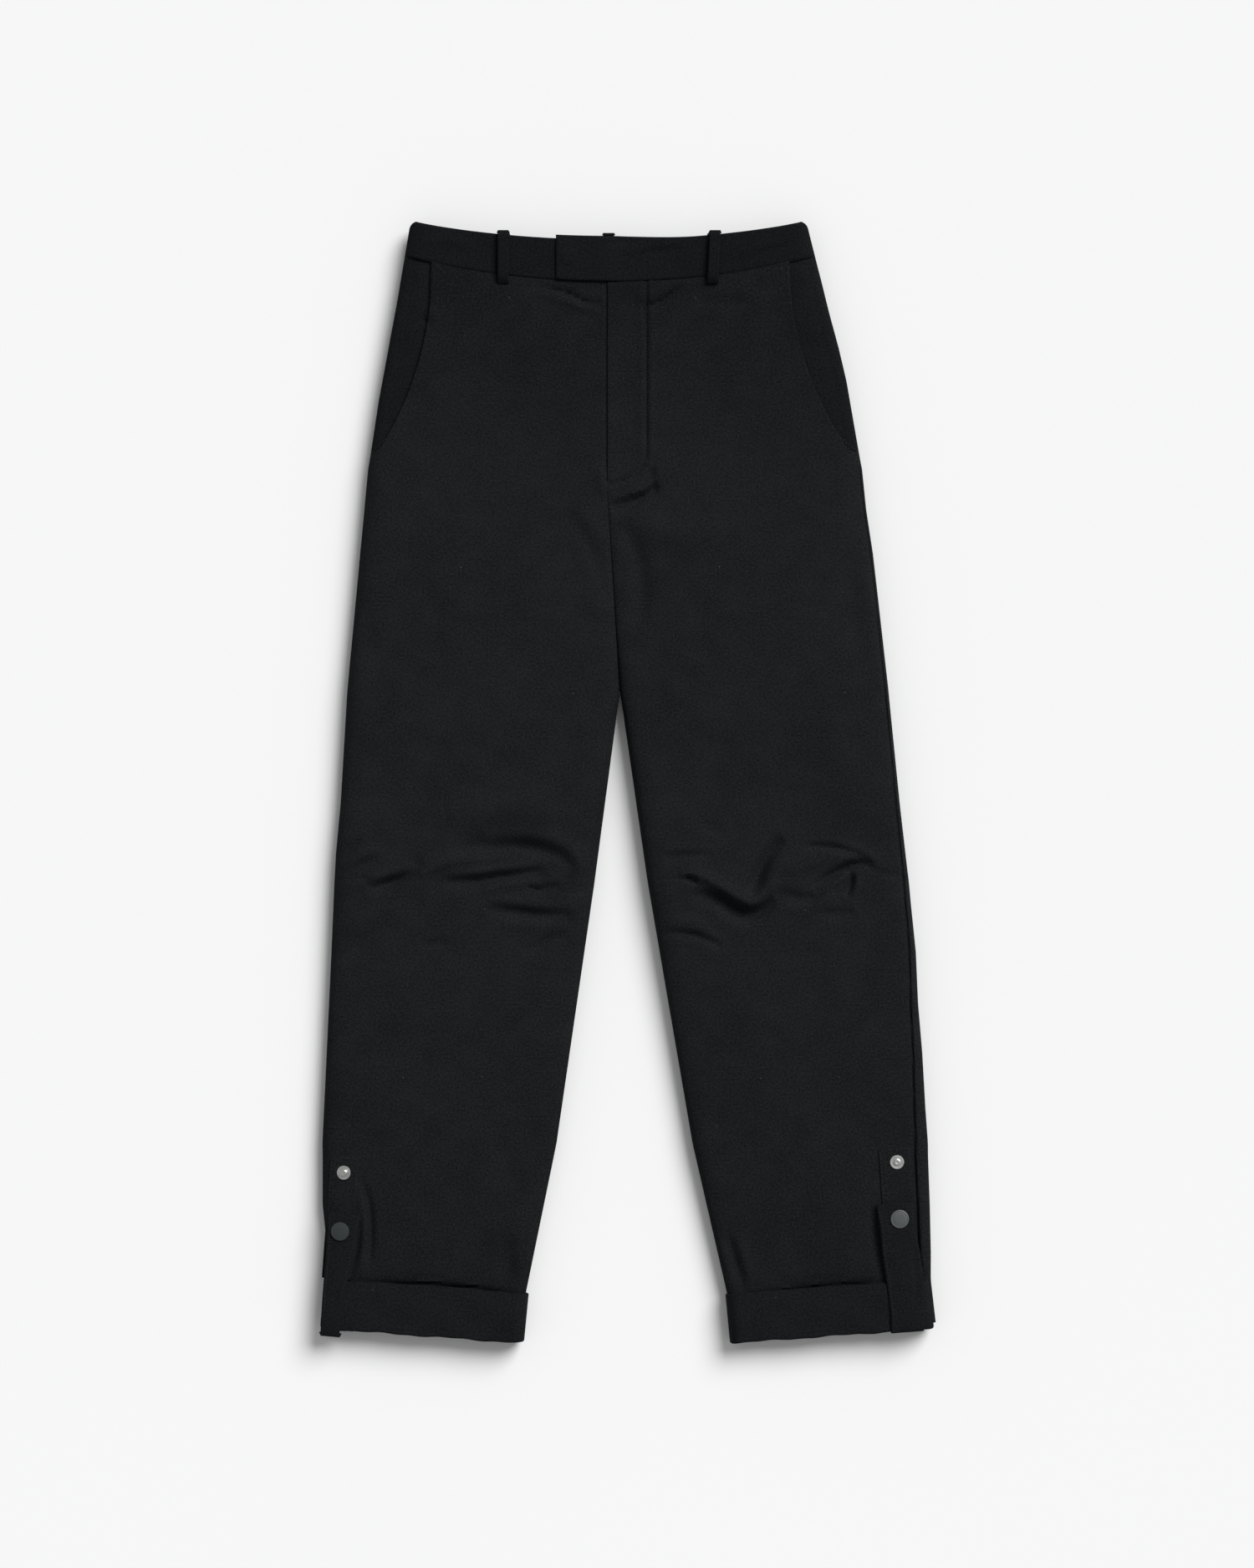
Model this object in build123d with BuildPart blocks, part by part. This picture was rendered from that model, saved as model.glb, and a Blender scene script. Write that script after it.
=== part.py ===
from build123d import *
import os
from math import cos, radians, sin

os.makedirs("parts", exist_ok=True)

# Trousers lying flat, face up. +X is the wearer's left, +Y points at the waist, +Z is up off the floor.
# The origin is under the middle of the outline. Sizes are in millimetres and angles in degrees.

# Outline of the trousers as they lie
overall_length = 1032.5
lay_spread = 566.8  # across the outer corners of the two hems
body_height = 24.0  # floor to the top of the front cloth
waist_width = 366.5
yoke_width = 394.0
hip_width = 453.5
fork_width = 498.0
knee_width = 238.5
ankle_width = 214.5
cuff_width = 189.0
waist_shift = -17.0  # centre of the outline, measured from the origin
yoke_shift = -15.0
hip_shift = -12.0
fork_shift = -9.0
yoke_drop = 75.0  # waist corner down to the end of the flat part that carries the belt loops
hip_drop = 228.0  # waist corner down to the hip
rise = 432.7  # waist corner down to where the legs part
thigh_length = 176.4
ankle_above_hem = 175.0
fork_x = -6.5  # where the legs part
crotch_height = 40.0  # the seat narrows into two legs over this length
crotch_overrun = 14.0  # past the centre seam at the top of it
seam_overrun = 30.0
hem_turn = 4.2  # each hem drops towards the other leg

# Cloth and clearances
panel_cloth = 1.2
band_cloth = 1.4
lining_cloth = 1.2
cuff_cloth = 2.6
edge_flat = 0.5  # half of the straight stretch in a rounded side
fit_gap = 0.2  # leg inside its cuff
swing_gap = 0.3  # between pieces that move past each other

# Waistband and belt loops
band_height = 38.4
band_side_height = 31.5
waist_dip = 17.0  # middle of the top edge, below its corners
loop_cloth = 1.4
belt_gap = 4.6
belt_width = 36.0
loop_width = 10.0
loop_foot = 4.0
loop_tail = 5.5  # past the upper foot
loop_drop = 54.2  # waist corner down to the inside of the lower foot
loop_offset = 97.0  # side loops, from the middle of the waist

# Waist extension and its press stud
fly_edge = -18.1
extension_length = 47.4
extension_width = 40.8
extension_cloth = 3.0
extension_drop = 13.0  # waist corner down to the top edge of the extension
waist_snap_inset = 11.6
waist_swing = 0.3  # hinge line above the cloth

# Press studs
stud_flange_radius = 6.5
stud_flange = 0.8
stud_head_radius = 3.2
stud_head = 2.4
socket_radius = 6.0
snap_room = 0.3  # socket's hole round the stud's head
socket_height = 0.9
cap_radius = 8.5
cap_height = 1.5
cap_edge = 0.6
recess_room = 0.7  # extension's recess round the stud's flange
recess_depth = 2.0
waist_stud_head = 1.2
waist_socket_height = 1.2

# Slash pockets
pocket_inset = 24.0  # mouth in from the side, at the band
pocket_length = 193.0  # down the side from the band
pocket_bow = 17.0
pocket_depth = 7.2  # front surface down to the top of the facing
facing_cloth = 1.2
facing_overlap = 25.0
bag_cloth = 0.8
bag_width = 75.0
bag_below_mouth = 70.0
bag_corner = 18.0
bag_side_margin = 16.0

# Fly and zip
fly_length = 187.0
fly_lap = 36.0  # width of the facing behind the lap
fly_facing_cloth = 0.8
fly_shield_cloth = 0.8
fly_curve = 29.0
fly_margin = 1.0  # facing stops short of the waistband seam
shield_room = 0.7
shield_bend = 11.0  # from the zip's middle, as are the next seven
shield_rise = 24.0
shield_end = 35.0
tape_bend = 6.0
tape_rise_left = 11.0
tape_end_left = 18.0
tape_rise_right = 19.0
tape_end_right = 29.0
crease_start = 10.0  # the centre seam leaves the fly's line this far below it
zip_x = -2.0
chain_drop = 8.6  # front surface down to the middle of the coils
tape_cloth = 0.6
coil_radius = 1.1
tape_room = 0.05
coil_gap = 1.2
zip_top_margin = 6.0
zip_bottom_margin = 3.0
zip_stop_length = 3.0
slider_margin = 1.0
slider_length = 12.0
slider_width = 8.4
slider_plate = 0.8
slider_room = 0.2
slider_post = 0.6
ear_width = 0.8
ear_length = 2.4
pull_length = 14.0
pull_width = 4.4
pull_height = 1.0
pull_barrel_radius = 1.0
pull_pin_radius = 0.42
pull_hole_radius = 0.5
pull_room = 0.1
pull_eye_radius = 1.3

# Turned-up cuffs and hem tabs
cuff_height = 43.0
tab_inset = {"right": 22.0, "left": 24.0}  # tab's middle, in from the outer corner of the hem
tab_width = 31.0
tab_length = 111.0
tab_cloth = 2.4
tab_end_radius = 4.0
tab_root_width = 18.0
tab_root_length = 26.0
snap_from_end = 14.5
stud_pitch = 51.5
strip_width = 28.0
strip_cloth = 1.2
strip_margin = 12.0  # past the upper stud
strip_gap = 1.0  # between the strip and the cuff's top edge

# Places worked out from the sizes above
sides = {"right": -1, "left": 1}
waist_y = overall_length / 2
yoke_y = waist_y - yoke_drop
hip_y = waist_y - hip_drop
fork_y = waist_y - rise
knee_y = fork_y - thigh_length
hem_drop = sin(radians(hem_turn)) * cuff_width / 2
hem_y = hem_drop - overall_length / 2
cuff_top_y = hem_y + cuff_height
ankle_y = hem_y + ankle_above_hem
split_height = body_height / 2
back_height = belt_gap + loop_cloth
shin_low = cuff_cloth + fit_gap
shin_high = body_height - shin_low
seam_y = waist_y - waist_dip - band_height
seam_side_y = waist_y - band_side_height
fly_bottom = seam_y - fly_length
crease_y = fly_bottom - crease_start
crotch_y = fork_y + crotch_height
facing_top = body_height - pocket_depth
facing_low = facing_top - facing_cloth
panel_low = body_height - panel_cloth
chain_height = body_height - chain_drop
zip_stop_height = 2 * (coil_radius + slider_room)
socket_hole_radius = stud_head_radius + snap_room
recess_radius = stud_flange_radius + recess_room
tall = 2 * body_height
wide = lay_spread


def leg_x(side, y):
    """Middle of a leg: a straight line from the fork to the hem."""
    outer = fork_shift + side * fork_width / 2
    top = (outer + fork_x) / 2
    hem = side * (lay_spread / 2 - cos(radians(hem_turn)) * cuff_width / 2)
    return top + (hem - top) * (fork_y - y) / (fork_y - hem_y)


def section(x, y, width, low, high, turn, inset):
    """One rounded cross-section of a flattened tube, drawn on an upright plane."""
    across = (cos(radians(turn)), sin(radians(turn)), 0)
    down = (sin(radians(turn)), -cos(radians(turn)), 0)
    height = high - low - 2 * inset
    with BuildSketch(Plane(origin=(x, y, 0), x_dir=across, z_dir=down), mode=Mode.PRIVATE) as outline:
        with Locations((0, (low + high) / 2)):
            RectangleRounded(width - 2 * inset, height, height / 2 - edge_flat)
    return outline.sketch


def seat_tube(inset):
    """The wide tube from the waist to the fork."""
    return [
        section(waist_shift, waist_y, waist_width, back_height, body_height, 0, inset),
        section(yoke_shift, yoke_y, yoke_width, back_height, body_height, 0, inset),
        section(hip_shift, hip_y, hip_width, 0, body_height, 0, inset),
        section(fork_shift, fork_y, fork_width, 0, body_height, 0, inset),
    ]


def thigh_tube(side, inset):
    """One side, waist to knee; above the fork it runs past the centre seam, where it is trimmed."""
    share = (hip_y - crotch_y) / (hip_y - fork_y)
    crotch_width = hip_width + share * (fork_width - hip_width)
    crotch_shift = hip_shift + share * (fork_shift - hip_shift)
    crotch_x = fork_x + (fly_edge - fork_x) * crotch_height / (crease_y - fork_y)
    rows = [
        (waist_y, waist_shift + side * waist_width / 2, fly_edge - side * seam_overrun, back_height),
        (yoke_y, yoke_shift + side * yoke_width / 2, fly_edge - side * seam_overrun, back_height),
        (hip_y, hip_shift + side * hip_width / 2, fly_edge - side * seam_overrun, 0),
        (crotch_y, crotch_shift + side * crotch_width / 2, crotch_x - side * crotch_overrun, 0),
        (fork_y, fork_shift + side * fork_width / 2, fork_x, 0),
    ]
    tube = []
    for y, outer, inner, low in rows:
        tube.append(section((outer + inner) / 2, y, abs(outer - inner), low, body_height, 0, inset))
    end_y = knee_y + swing_gap / 2
    return tube + [section(leg_x(side, end_y), end_y, knee_width, 0, body_height, 0, inset)]


def shin_tube(side, inset):
    """One leg from the knee to the hem; the last stretch lies inside the cuff."""
    turn = side * hem_turn
    start_y = knee_y - swing_gap / 2
    width = cuff_width - 2 * (cuff_cloth + fit_gap)
    return [
        section(leg_x(side, start_y), start_y, knee_width, 0, body_height, 0, inset),
        section(leg_x(side, ankle_y), ankle_y, ankle_width, shin_low, shin_high, 0, inset),
        section(leg_x(side, cuff_top_y), cuff_top_y, width, shin_low, shin_high, turn, inset),
        section(leg_x(side, hem_y), hem_y, width, shin_low, shin_high, turn, inset),
    ]


def cuff_tube(side, inset):
    """The turned-up ring round the end of a leg."""
    turn = side * hem_turn
    return [
        section(leg_x(side, cuff_top_y), cuff_top_y, cuff_width, 0, body_height, turn, inset),
        section(leg_x(side, hem_y), hem_y, cuff_width, 0, body_height, turn, inset),
    ]


def waist_arc(side_y, middle_y):
    """A curved edge across the waist, with straight ends that run past the sides."""
    low_x = waist_shift - waist_width / 2
    high_x = waist_shift + waist_width / 2
    with BuildLine(mode=Mode.PRIVATE) as edge:
        Line((-wide, side_y), (low_x, side_y))
        ThreePointArc((low_x, side_y), (waist_shift, middle_y), (high_x, side_y))
        Line((high_x, side_y), (wide, side_y))
    return edge


def above(edge):
    """The plan area on the waist side of an edge made by waist_arc."""
    ends = sorted(edge.line.vertices(), key=lambda v: v.X)
    first, last = ends[0], ends[-1]
    with BuildSketch(Plane.XY, mode=Mode.PRIVATE) as plan:
        with BuildLine():
            add(edge.line)
            Polyline((first.X, first.Y), (first.X, 2 * waist_y), (last.X, 2 * waist_y), (last.X, last.Y))
        make_face()
    return plan.sketch


def half(side):
    """The plan area on one side of the fly's edge and the centre seam."""
    with BuildSketch(Plane.XY, mode=Mode.PRIVATE) as plan:
        with BuildLine():
            Polyline(
                (fly_edge, 2 * waist_y),
                (fly_edge, crease_y),
                (fork_x, fork_y),
                (fork_x, -2 * waist_y),
                (side * wide, -2 * waist_y),
                (side * wide, 2 * waist_y),
                close=True,
            )
        make_face()
    return plan.sketch


over_seam = above(waist_arc(seam_side_y, seam_y))
over_waist = above(waist_arc(waist_y, waist_y - waist_dip))


def side_x(y):
    """Half width of the front between the yoke and the hip, and its middle."""
    share = (yoke_y - y) / (yoke_y - hip_y)
    middle = yoke_shift + share * (hip_shift - yoke_shift)
    return yoke_width / 2 + share * (hip_width - yoke_width) / 2, middle


def mouth_ends(side):
    """Top and bottom of a pocket mouth: from the band to the side of the hip."""
    half_top, middle_top = side_x(seam_side_y)
    bottom_y = seam_side_y - pocket_length
    half_low, middle_low = side_x(bottom_y)
    top = (middle_top + side * (half_top - pocket_inset), seam_side_y)
    return top, (middle_low + side * half_low, bottom_y)


def pocket_corner(side, shift):
    """The plan area outside a pocket mouth; shift moves the mouth towards the fly."""
    (top_x, top_y), (low_x, low_y) = mouth_ends(side)
    top_x, low_x = top_x - side * shift, low_x - side * shift
    with BuildSketch(Plane.XY, mode=Mode.PRIVATE) as plan:
        with BuildLine():
            SagittaArc((top_x, top_y), (low_x, low_y), -side * pocket_bow)
            Polyline(
                (low_x, low_y),
                (side * wide, low_y),
                (side * wide, waist_y),
                (top_x, waist_y),
                (top_x, top_y),
            )
        make_face()
    return plan.sketch


def bag_outline(side, inset):
    """A pocket bag in plan; it runs out past the mouth, where it is trimmed."""
    (top_x, top_y), (low_x, low_y) = mouth_ends(side)
    inner_x = top_x - side * (facing_overlap + bag_width)
    outer_x = low_x - side * bag_side_margin
    top, bottom = seam_y - fit_gap, low_y - bag_below_mouth
    with BuildSketch(mode=Mode.PRIVATE) as plan:
        with Locations(((inner_x + outer_x) / 2, (top + bottom) / 2)):
            Rectangle(abs(outer_x - inner_x) - 2 * inset, top - bottom - 2 * inset)
        fillet(plan.vertices().group_by(Axis.Y)[0], bag_corner - inset)
    add(plan.sketch)


def thigh_shell(side):
    """The half of the seat and the thigh on one side, as an open tube of one cloth."""
    loft(thigh_tube(side, 0), ruled=True)
    loft(thigh_tube(side, panel_cloth), ruled=True, mode=Mode.SUBTRACT)
    extrude(half(side), amount=tall, mode=Mode.INTERSECT)
    extrude(over_seam, amount=tall, mode=Mode.SUBTRACT)


# Leg panels: the front of each side is one cloth, and the back is a yoke, a seat panel and a thigh panel
back_spans = {"back_yoke": (hip_y, waist_y), "back_seat": (crotch_y, hip_y), "back_thigh": (knee_y, crotch_y)}
for name, side in sides.items():
    with BuildPart() as front_thigh:
        thigh_shell(side)
        split(bisect_by=Plane.XY.offset(split_height), keep=Keep.TOP)
        extrude(pocket_corner(side, 0), amount=tall, mode=Mode.SUBTRACT)
    front_thigh.part.label = f"front_thigh_{name}"
    export_step(front_thigh.part, f"parts/front_thigh_{name}.step")

    for panel, (low_y, high_y) in back_spans.items():
        with BuildPart() as back_panel:
            thigh_shell(side)
            split(bisect_by=Plane.XY.offset(split_height), keep=Keep.BOTTOM)
            with BuildSketch(Plane.XY):
                with Locations((0, low_y)):
                    Rectangle(2 * wide, high_y - low_y, align=(Align.CENTER, Align.MIN))
            extrude(amount=tall, mode=Mode.INTERSECT)
        back_panel.part.label = f"{panel}_{name}"
        export_step(back_panel.part, f"parts/{panel}_{name}.step")

    for face, keep in (("front", Keep.TOP), ("back", Keep.BOTTOM)):
        with BuildPart() as shin:
            loft(shin_tube(side, 0), ruled=True)
            loft(shin_tube(side, panel_cloth), ruled=True, mode=Mode.SUBTRACT)
            split(bisect_by=Plane.XY.offset(split_height), keep=keep)
        shin.part.label = f"{face}_shin_{name}"
        export_step(shin.part, f"parts/{face}_shin_{name}.step")


# Waistband: an outer cloth and a lining, each in a back piece and two front pieces that meet at the fly
def band_shell(outside, inside):
    """The part of the tube between the waistband's two edges."""
    loft(seat_tube(outside), ruled=True)
    loft(seat_tube(inside), ruled=True, mode=Mode.SUBTRACT)
    extrude(over_seam, amount=tall, mode=Mode.INTERSECT)
    extrude(over_waist, amount=tall, mode=Mode.SUBTRACT)


layers = {"waistband": (0, band_cloth), "waistband_lining": (band_cloth, band_cloth + lining_cloth)}
for layer, (outside, inside) in layers.items():
    with BuildPart() as band_back:
        band_shell(outside, inside)
        split(bisect_by=Plane.XY.offset(split_height), keep=Keep.BOTTOM)
    band_back.part.label = f"{layer}_back"
    export_step(band_back.part, f"parts/{layer}_back.step")

    for name, side in sides.items():
        with BuildPart() as band_front:
            band_shell(outside, inside)
            split(bisect_by=Plane.XY.offset(split_height), keep=Keep.TOP)
            extrude(half(side), amount=tall, mode=Mode.INTERSECT)
        band_front.part.label = f"{layer}_front_{name}"
        export_step(band_front.part, f"parts/{layer}_front_{name}.step")


# Belt loops: two in front, three behind
def belt_loop(x, surface, up):
    """A bridge of cloth on two feet; up is 1 on the front and -1 on the back."""
    inside_y = waist_y - loop_drop
    bar_length = belt_width + 2 * loop_foot + loop_tail
    with BuildSketch(Plane.YZ.offset(x - loop_width / 2)) as profile:
        with Locations((inside_y - loop_foot, surface + up * belt_gap)):
            Rectangle(bar_length, loop_cloth, align=(Align.MIN, Align.MIN if up > 0 else Align.MAX))
        with Locations((inside_y, surface)):
            Rectangle(loop_foot, belt_gap, align=(Align.MAX, Align.MIN if up > 0 else Align.MAX))
        with Locations((inside_y + belt_width, surface)):
            Rectangle(loop_foot, belt_gap, align=(Align.MIN, Align.MIN if up > 0 else Align.MAX))
    extrude(profile.sketch, amount=loop_width)


loops = {
    "belt_loop_front_right": (waist_shift - loop_offset, body_height, 1),
    "belt_loop_front_left": (waist_shift + loop_offset, body_height, 1),
    "belt_loop_back_right": (waist_shift - loop_offset, back_height, -1),
    "belt_loop_back_middle": (waist_shift, back_height, -1),
    "belt_loop_back_left": (waist_shift + loop_offset, back_height, -1),
}
for name, (x, surface, up) in loops.items():
    with BuildPart() as loop:
        belt_loop(x, surface, up)
    loop.part.label = name
    export_step(loop.part, f"parts/{name}.step")

# Waist extension: carries on from the wearer's left band and closes over the right one
extension_low = body_height + swing_gap
extension_top_y = waist_y - extension_drop
extension_middle_y = extension_top_y - extension_width / 2
waist_snap_x = fly_edge - extension_length + waist_snap_inset
with BuildPart() as waist_extension:
    with BuildSketch(Plane.XY.offset(extension_low)):
        with Locations((fly_edge, extension_middle_y)):
            Rectangle(extension_length, extension_width, align=(Align.MAX, Align.CENTER))
    extrude(amount=extension_cloth)
    with BuildSketch(Plane.XY.offset(extension_low)):
        with Locations((waist_snap_x, extension_middle_y)):
            Circle(recess_radius)
    extrude(amount=recess_depth, mode=Mode.SUBTRACT)
waist_extension.part.label = "waist_extension"
export_step(waist_extension.part, "parts/waist_extension.step")

with BuildPart() as waist_snap_socket:
    with BuildSketch(Plane.XY.offset(extension_low + recess_depth - waist_socket_height)):
        with Locations((waist_snap_x, extension_middle_y)):
            Circle(recess_radius)
            Circle(socket_hole_radius, mode=Mode.SUBTRACT)
    extrude(amount=waist_socket_height)
waist_snap_socket.part.label = "waist_snap_socket"
export_step(waist_snap_socket.part, "parts/waist_snap_socket.step")

with BuildPart() as waist_snap_stud:
    with BuildSketch(Plane.XY.offset(body_height)):
        with Locations((waist_snap_x, extension_middle_y)):
            Circle(stud_flange_radius)
    extrude(amount=stud_flange)
    with BuildSketch(Plane.XY.offset(body_height + stud_flange)):
        with Locations((waist_snap_x, extension_middle_y)):
            Circle(stud_head_radius)
    extrude(amount=waist_stud_head)
waist_snap_stud.part.label = "waist_snap_stud"
export_step(waist_snap_stud.part, "parts/waist_snap_stud.step")

# Slash pockets: a facing that fills the corner outside the mouth, and a bag behind the front panel
for name, side in sides.items():
    with BuildPart() as facing_rim:
        loft(seat_tube(0), ruled=True)
        loft(seat_tube(panel_cloth), ruled=True, mode=Mode.SUBTRACT)
        extrude(pocket_corner(side, 0), amount=facing_low, mode=Mode.INTERSECT)
        extrude(over_seam, amount=tall, mode=Mode.SUBTRACT)
        split(bisect_by=Plane.XY.offset(split_height), keep=Keep.TOP)

    with BuildPart() as facing_plate:
        loft(seat_tube(0), ruled=True)
        extrude(pocket_corner(side, 0), amount=tall, mode=Mode.INTERSECT)
        extrude(over_seam, amount=tall, mode=Mode.SUBTRACT)
        split(bisect_by=Plane.XY.offset(facing_low), keep=Keep.TOP)
        split(bisect_by=Plane.XY.offset(facing_top), keep=Keep.BOTTOM)

    with BuildPart() as facing_tongue:
        loft(seat_tube(panel_cloth + fit_gap), ruled=True)
        extrude(pocket_corner(side, facing_overlap), amount=tall, mode=Mode.INTERSECT)
        extrude(over_seam, amount=tall, mode=Mode.SUBTRACT)
        split(bisect_by=Plane.XY.offset(facing_low), keep=Keep.TOP)
        split(bisect_by=Plane.XY.offset(facing_top), keep=Keep.BOTTOM)

    with BuildPart() as pocket_facing:
        add(facing_rim.part)
        add(facing_plate.part)
        add(facing_tongue.part)
    pocket_facing.part.label = f"pocket_facing_{name}"
    export_step(pocket_facing.part, f"parts/pocket_facing_{name}.step")

    with BuildPart() as pocket_bag:
        with BuildSketch(Plane.XY.offset(facing_low)):
            bag_outline(side, 0)
        extrude(amount=panel_low - facing_low)
        with BuildSketch(Plane.XY.offset(facing_low + bag_cloth)):
            bag_outline(side, bag_cloth)
        extrude(amount=tall, mode=Mode.SUBTRACT)
        extrude(pocket_corner(side, facing_overlap + fit_gap), amount=tall, mode=Mode.SUBTRACT)
    pocket_bag.part.label = f"pocket_bag_{name}"
    export_step(pocket_bag.part, f"parts/pocket_bag_{name}.step")

# Fly: a facing behind the lap, a shield behind the zip
facing_middle_x = fly_edge + fly_lap / 2
facing_head_y = seam_y - fly_margin
with BuildPart() as fly_facing:
    with BuildSketch(Plane.XY.offset(panel_low - fly_facing_cloth)) as facing_plan:
        with Locations((facing_middle_x, facing_head_y)):
            Rectangle(fly_lap, facing_head_y - fly_bottom, align=(Align.CENTER, Align.MAX))
        fillet(facing_plan.vertices().group_by(Axis.Y)[0].sort_by(Axis.X)[-1], fly_curve)
    extrude(amount=fly_facing_cloth)
fly_facing.part.label = "fly_facing"
export_step(fly_facing.part, "parts/fly_facing.step")

shield_height = chain_height - coil_radius - slider_room - slider_plate - shield_room - fly_shield_cloth / 2
shield_level = panel_low - tape_cloth - fly_shield_cloth / 2
with BuildPart() as fly_shield:
    with BuildSketch(Plane.XZ.offset(-facing_head_y)):
        with BuildLine():
            Polyline(
                (fly_edge + fly_lap, shield_height),
                (zip_x - shield_bend, shield_height),
                (zip_x - shield_rise, shield_level),
                (zip_x - shield_end, shield_level),
            )
        trace(line_width=fly_shield_cloth)
    extrude(amount=facing_head_y - fly_bottom)
fly_shield.part.label = "fly_shield"
export_step(fly_shield.part, "parts/fly_shield.step")

# Zip: two tapes, two coils, stops, and a slider with its pull
tape_low_y = fly_bottom + zip_bottom_margin
coil_x = coil_gap / 2 + coil_radius
coil_top_y = facing_head_y - zip_top_margin
coil_low_y = tape_low_y + zip_stop_length
tape_levels = {
    "right": (-tape_rise_right, -tape_end_right, panel_low - tape_cloth / 2),
    "left": (tape_rise_left, tape_end_left, panel_low - fly_facing_cloth - tape_cloth / 2),
}
for name, (tape_rise, tape_end, level) in tape_levels.items():
    side = sides[name]
    with BuildPart() as zip_tape:
        with BuildSketch(Plane.XZ.offset(-facing_head_y)):
            with BuildLine():
                Polyline(
                    (zip_x + side * (coil_x + coil_radius + tape_room), chain_height),
                    (zip_x + side * tape_bend, chain_height),
                    (zip_x + tape_rise, level),
                    (zip_x + tape_end, level),
                )
            trace(line_width=tape_cloth)
        extrude(amount=facing_head_y - tape_low_y)
    zip_tape.part.label = f"zip_tape_{name}"
    export_step(zip_tape.part, f"parts/zip_tape_{name}.step")

    with BuildPart() as zip_coil:
        with BuildSketch(Plane.XZ.offset(-coil_top_y)):
            with Locations((zip_x + side * coil_x, chain_height)):
                Circle(coil_radius)
        extrude(amount=coil_top_y - coil_low_y)
    zip_coil.part.label = f"zip_coil_{name}"
    export_step(zip_coil.part, f"parts/zip_coil_{name}.step")

with BuildPart() as zip_stops:
    with BuildSketch(Plane.XZ.offset(-coil_top_y)):
        with Locations((zip_x - coil_x, chain_height), (zip_x + coil_x, chain_height)):
            Rectangle(2 * coil_radius, zip_stop_height)
    extrude(amount=-zip_stop_length)
    with BuildSketch(Plane.XZ.offset(-coil_low_y)):
        with Locations((zip_x, chain_height)):
            Rectangle(2 * (coil_x + coil_radius), zip_stop_height)
    extrude(amount=zip_stop_length)
zip_stops.part.label = "zip_stops"
export_step(zip_stops.part, "parts/zip_stops.step")

slider_top_y = coil_top_y - slider_margin
plate_height = coil_radius + slider_room + slider_plate / 2
pull_pin_y = slider_top_y - ear_length
pull_pin_height = chain_height + plate_height + slider_plate / 2 + pull_room + pull_barrel_radius
ear_x = pull_width / 2 + pull_room + ear_width / 2
ear_height = pull_pin_height + pull_barrel_radius - chain_height - plate_height
with BuildPart() as zip_slider:
    with BuildSketch(Plane.XZ.offset(-slider_top_y)):
        with Locations((zip_x, chain_height + plate_height), (zip_x, chain_height - plate_height)):
            Rectangle(slider_width, slider_plate)
        with Locations((zip_x, chain_height)):
            Rectangle(slider_post, 2 * plate_height)
    extrude(amount=slider_length)
    with BuildSketch(Plane.XY.offset(chain_height + plate_height)):
        with Locations((zip_x - ear_x, pull_pin_y), (zip_x + ear_x, pull_pin_y)):
            Rectangle(ear_width, ear_length)
    extrude(amount=ear_height)
    with BuildSketch(Plane.YZ.offset(zip_x)):
        with Locations((pull_pin_y, pull_pin_height)):
            Circle(pull_pin_radius)
    extrude(amount=ear_x, both=True)
zip_slider.part.label = "zip_slider"
export_step(zip_slider.part, "parts/zip_slider.step")

with BuildPart() as zip_pull:
    with BuildSketch(Plane.XY.offset(pull_pin_height - pull_height / 2)) as pull_plan:
        with Locations((zip_x, pull_pin_y)):
            Rectangle(pull_width, pull_length, align=(Align.CENTER, Align.MAX))
        fillet(pull_plan.vertices().group_by(Axis.Y)[0], pull_width / 3)
        with Locations((zip_x, pull_pin_y - pull_length + pull_width / 2)):
            Circle(pull_eye_radius, mode=Mode.SUBTRACT)
    extrude(amount=pull_height)
    with BuildSketch(Plane.YZ.offset(zip_x)):
        with Locations((pull_pin_y, pull_pin_height)):
            Circle(pull_barrel_radius)
    extrude(amount=pull_width / 2, both=True)
    with BuildSketch(Plane.YZ.offset(zip_x)):
        with Locations((pull_pin_y, pull_pin_height)):
            Circle(pull_hole_radius)
    extrude(amount=pull_width, both=True, mode=Mode.SUBTRACT)
zip_pull.part.label = "zip_pull"
export_step(zip_pull.part, "parts/zip_pull.step")

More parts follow.
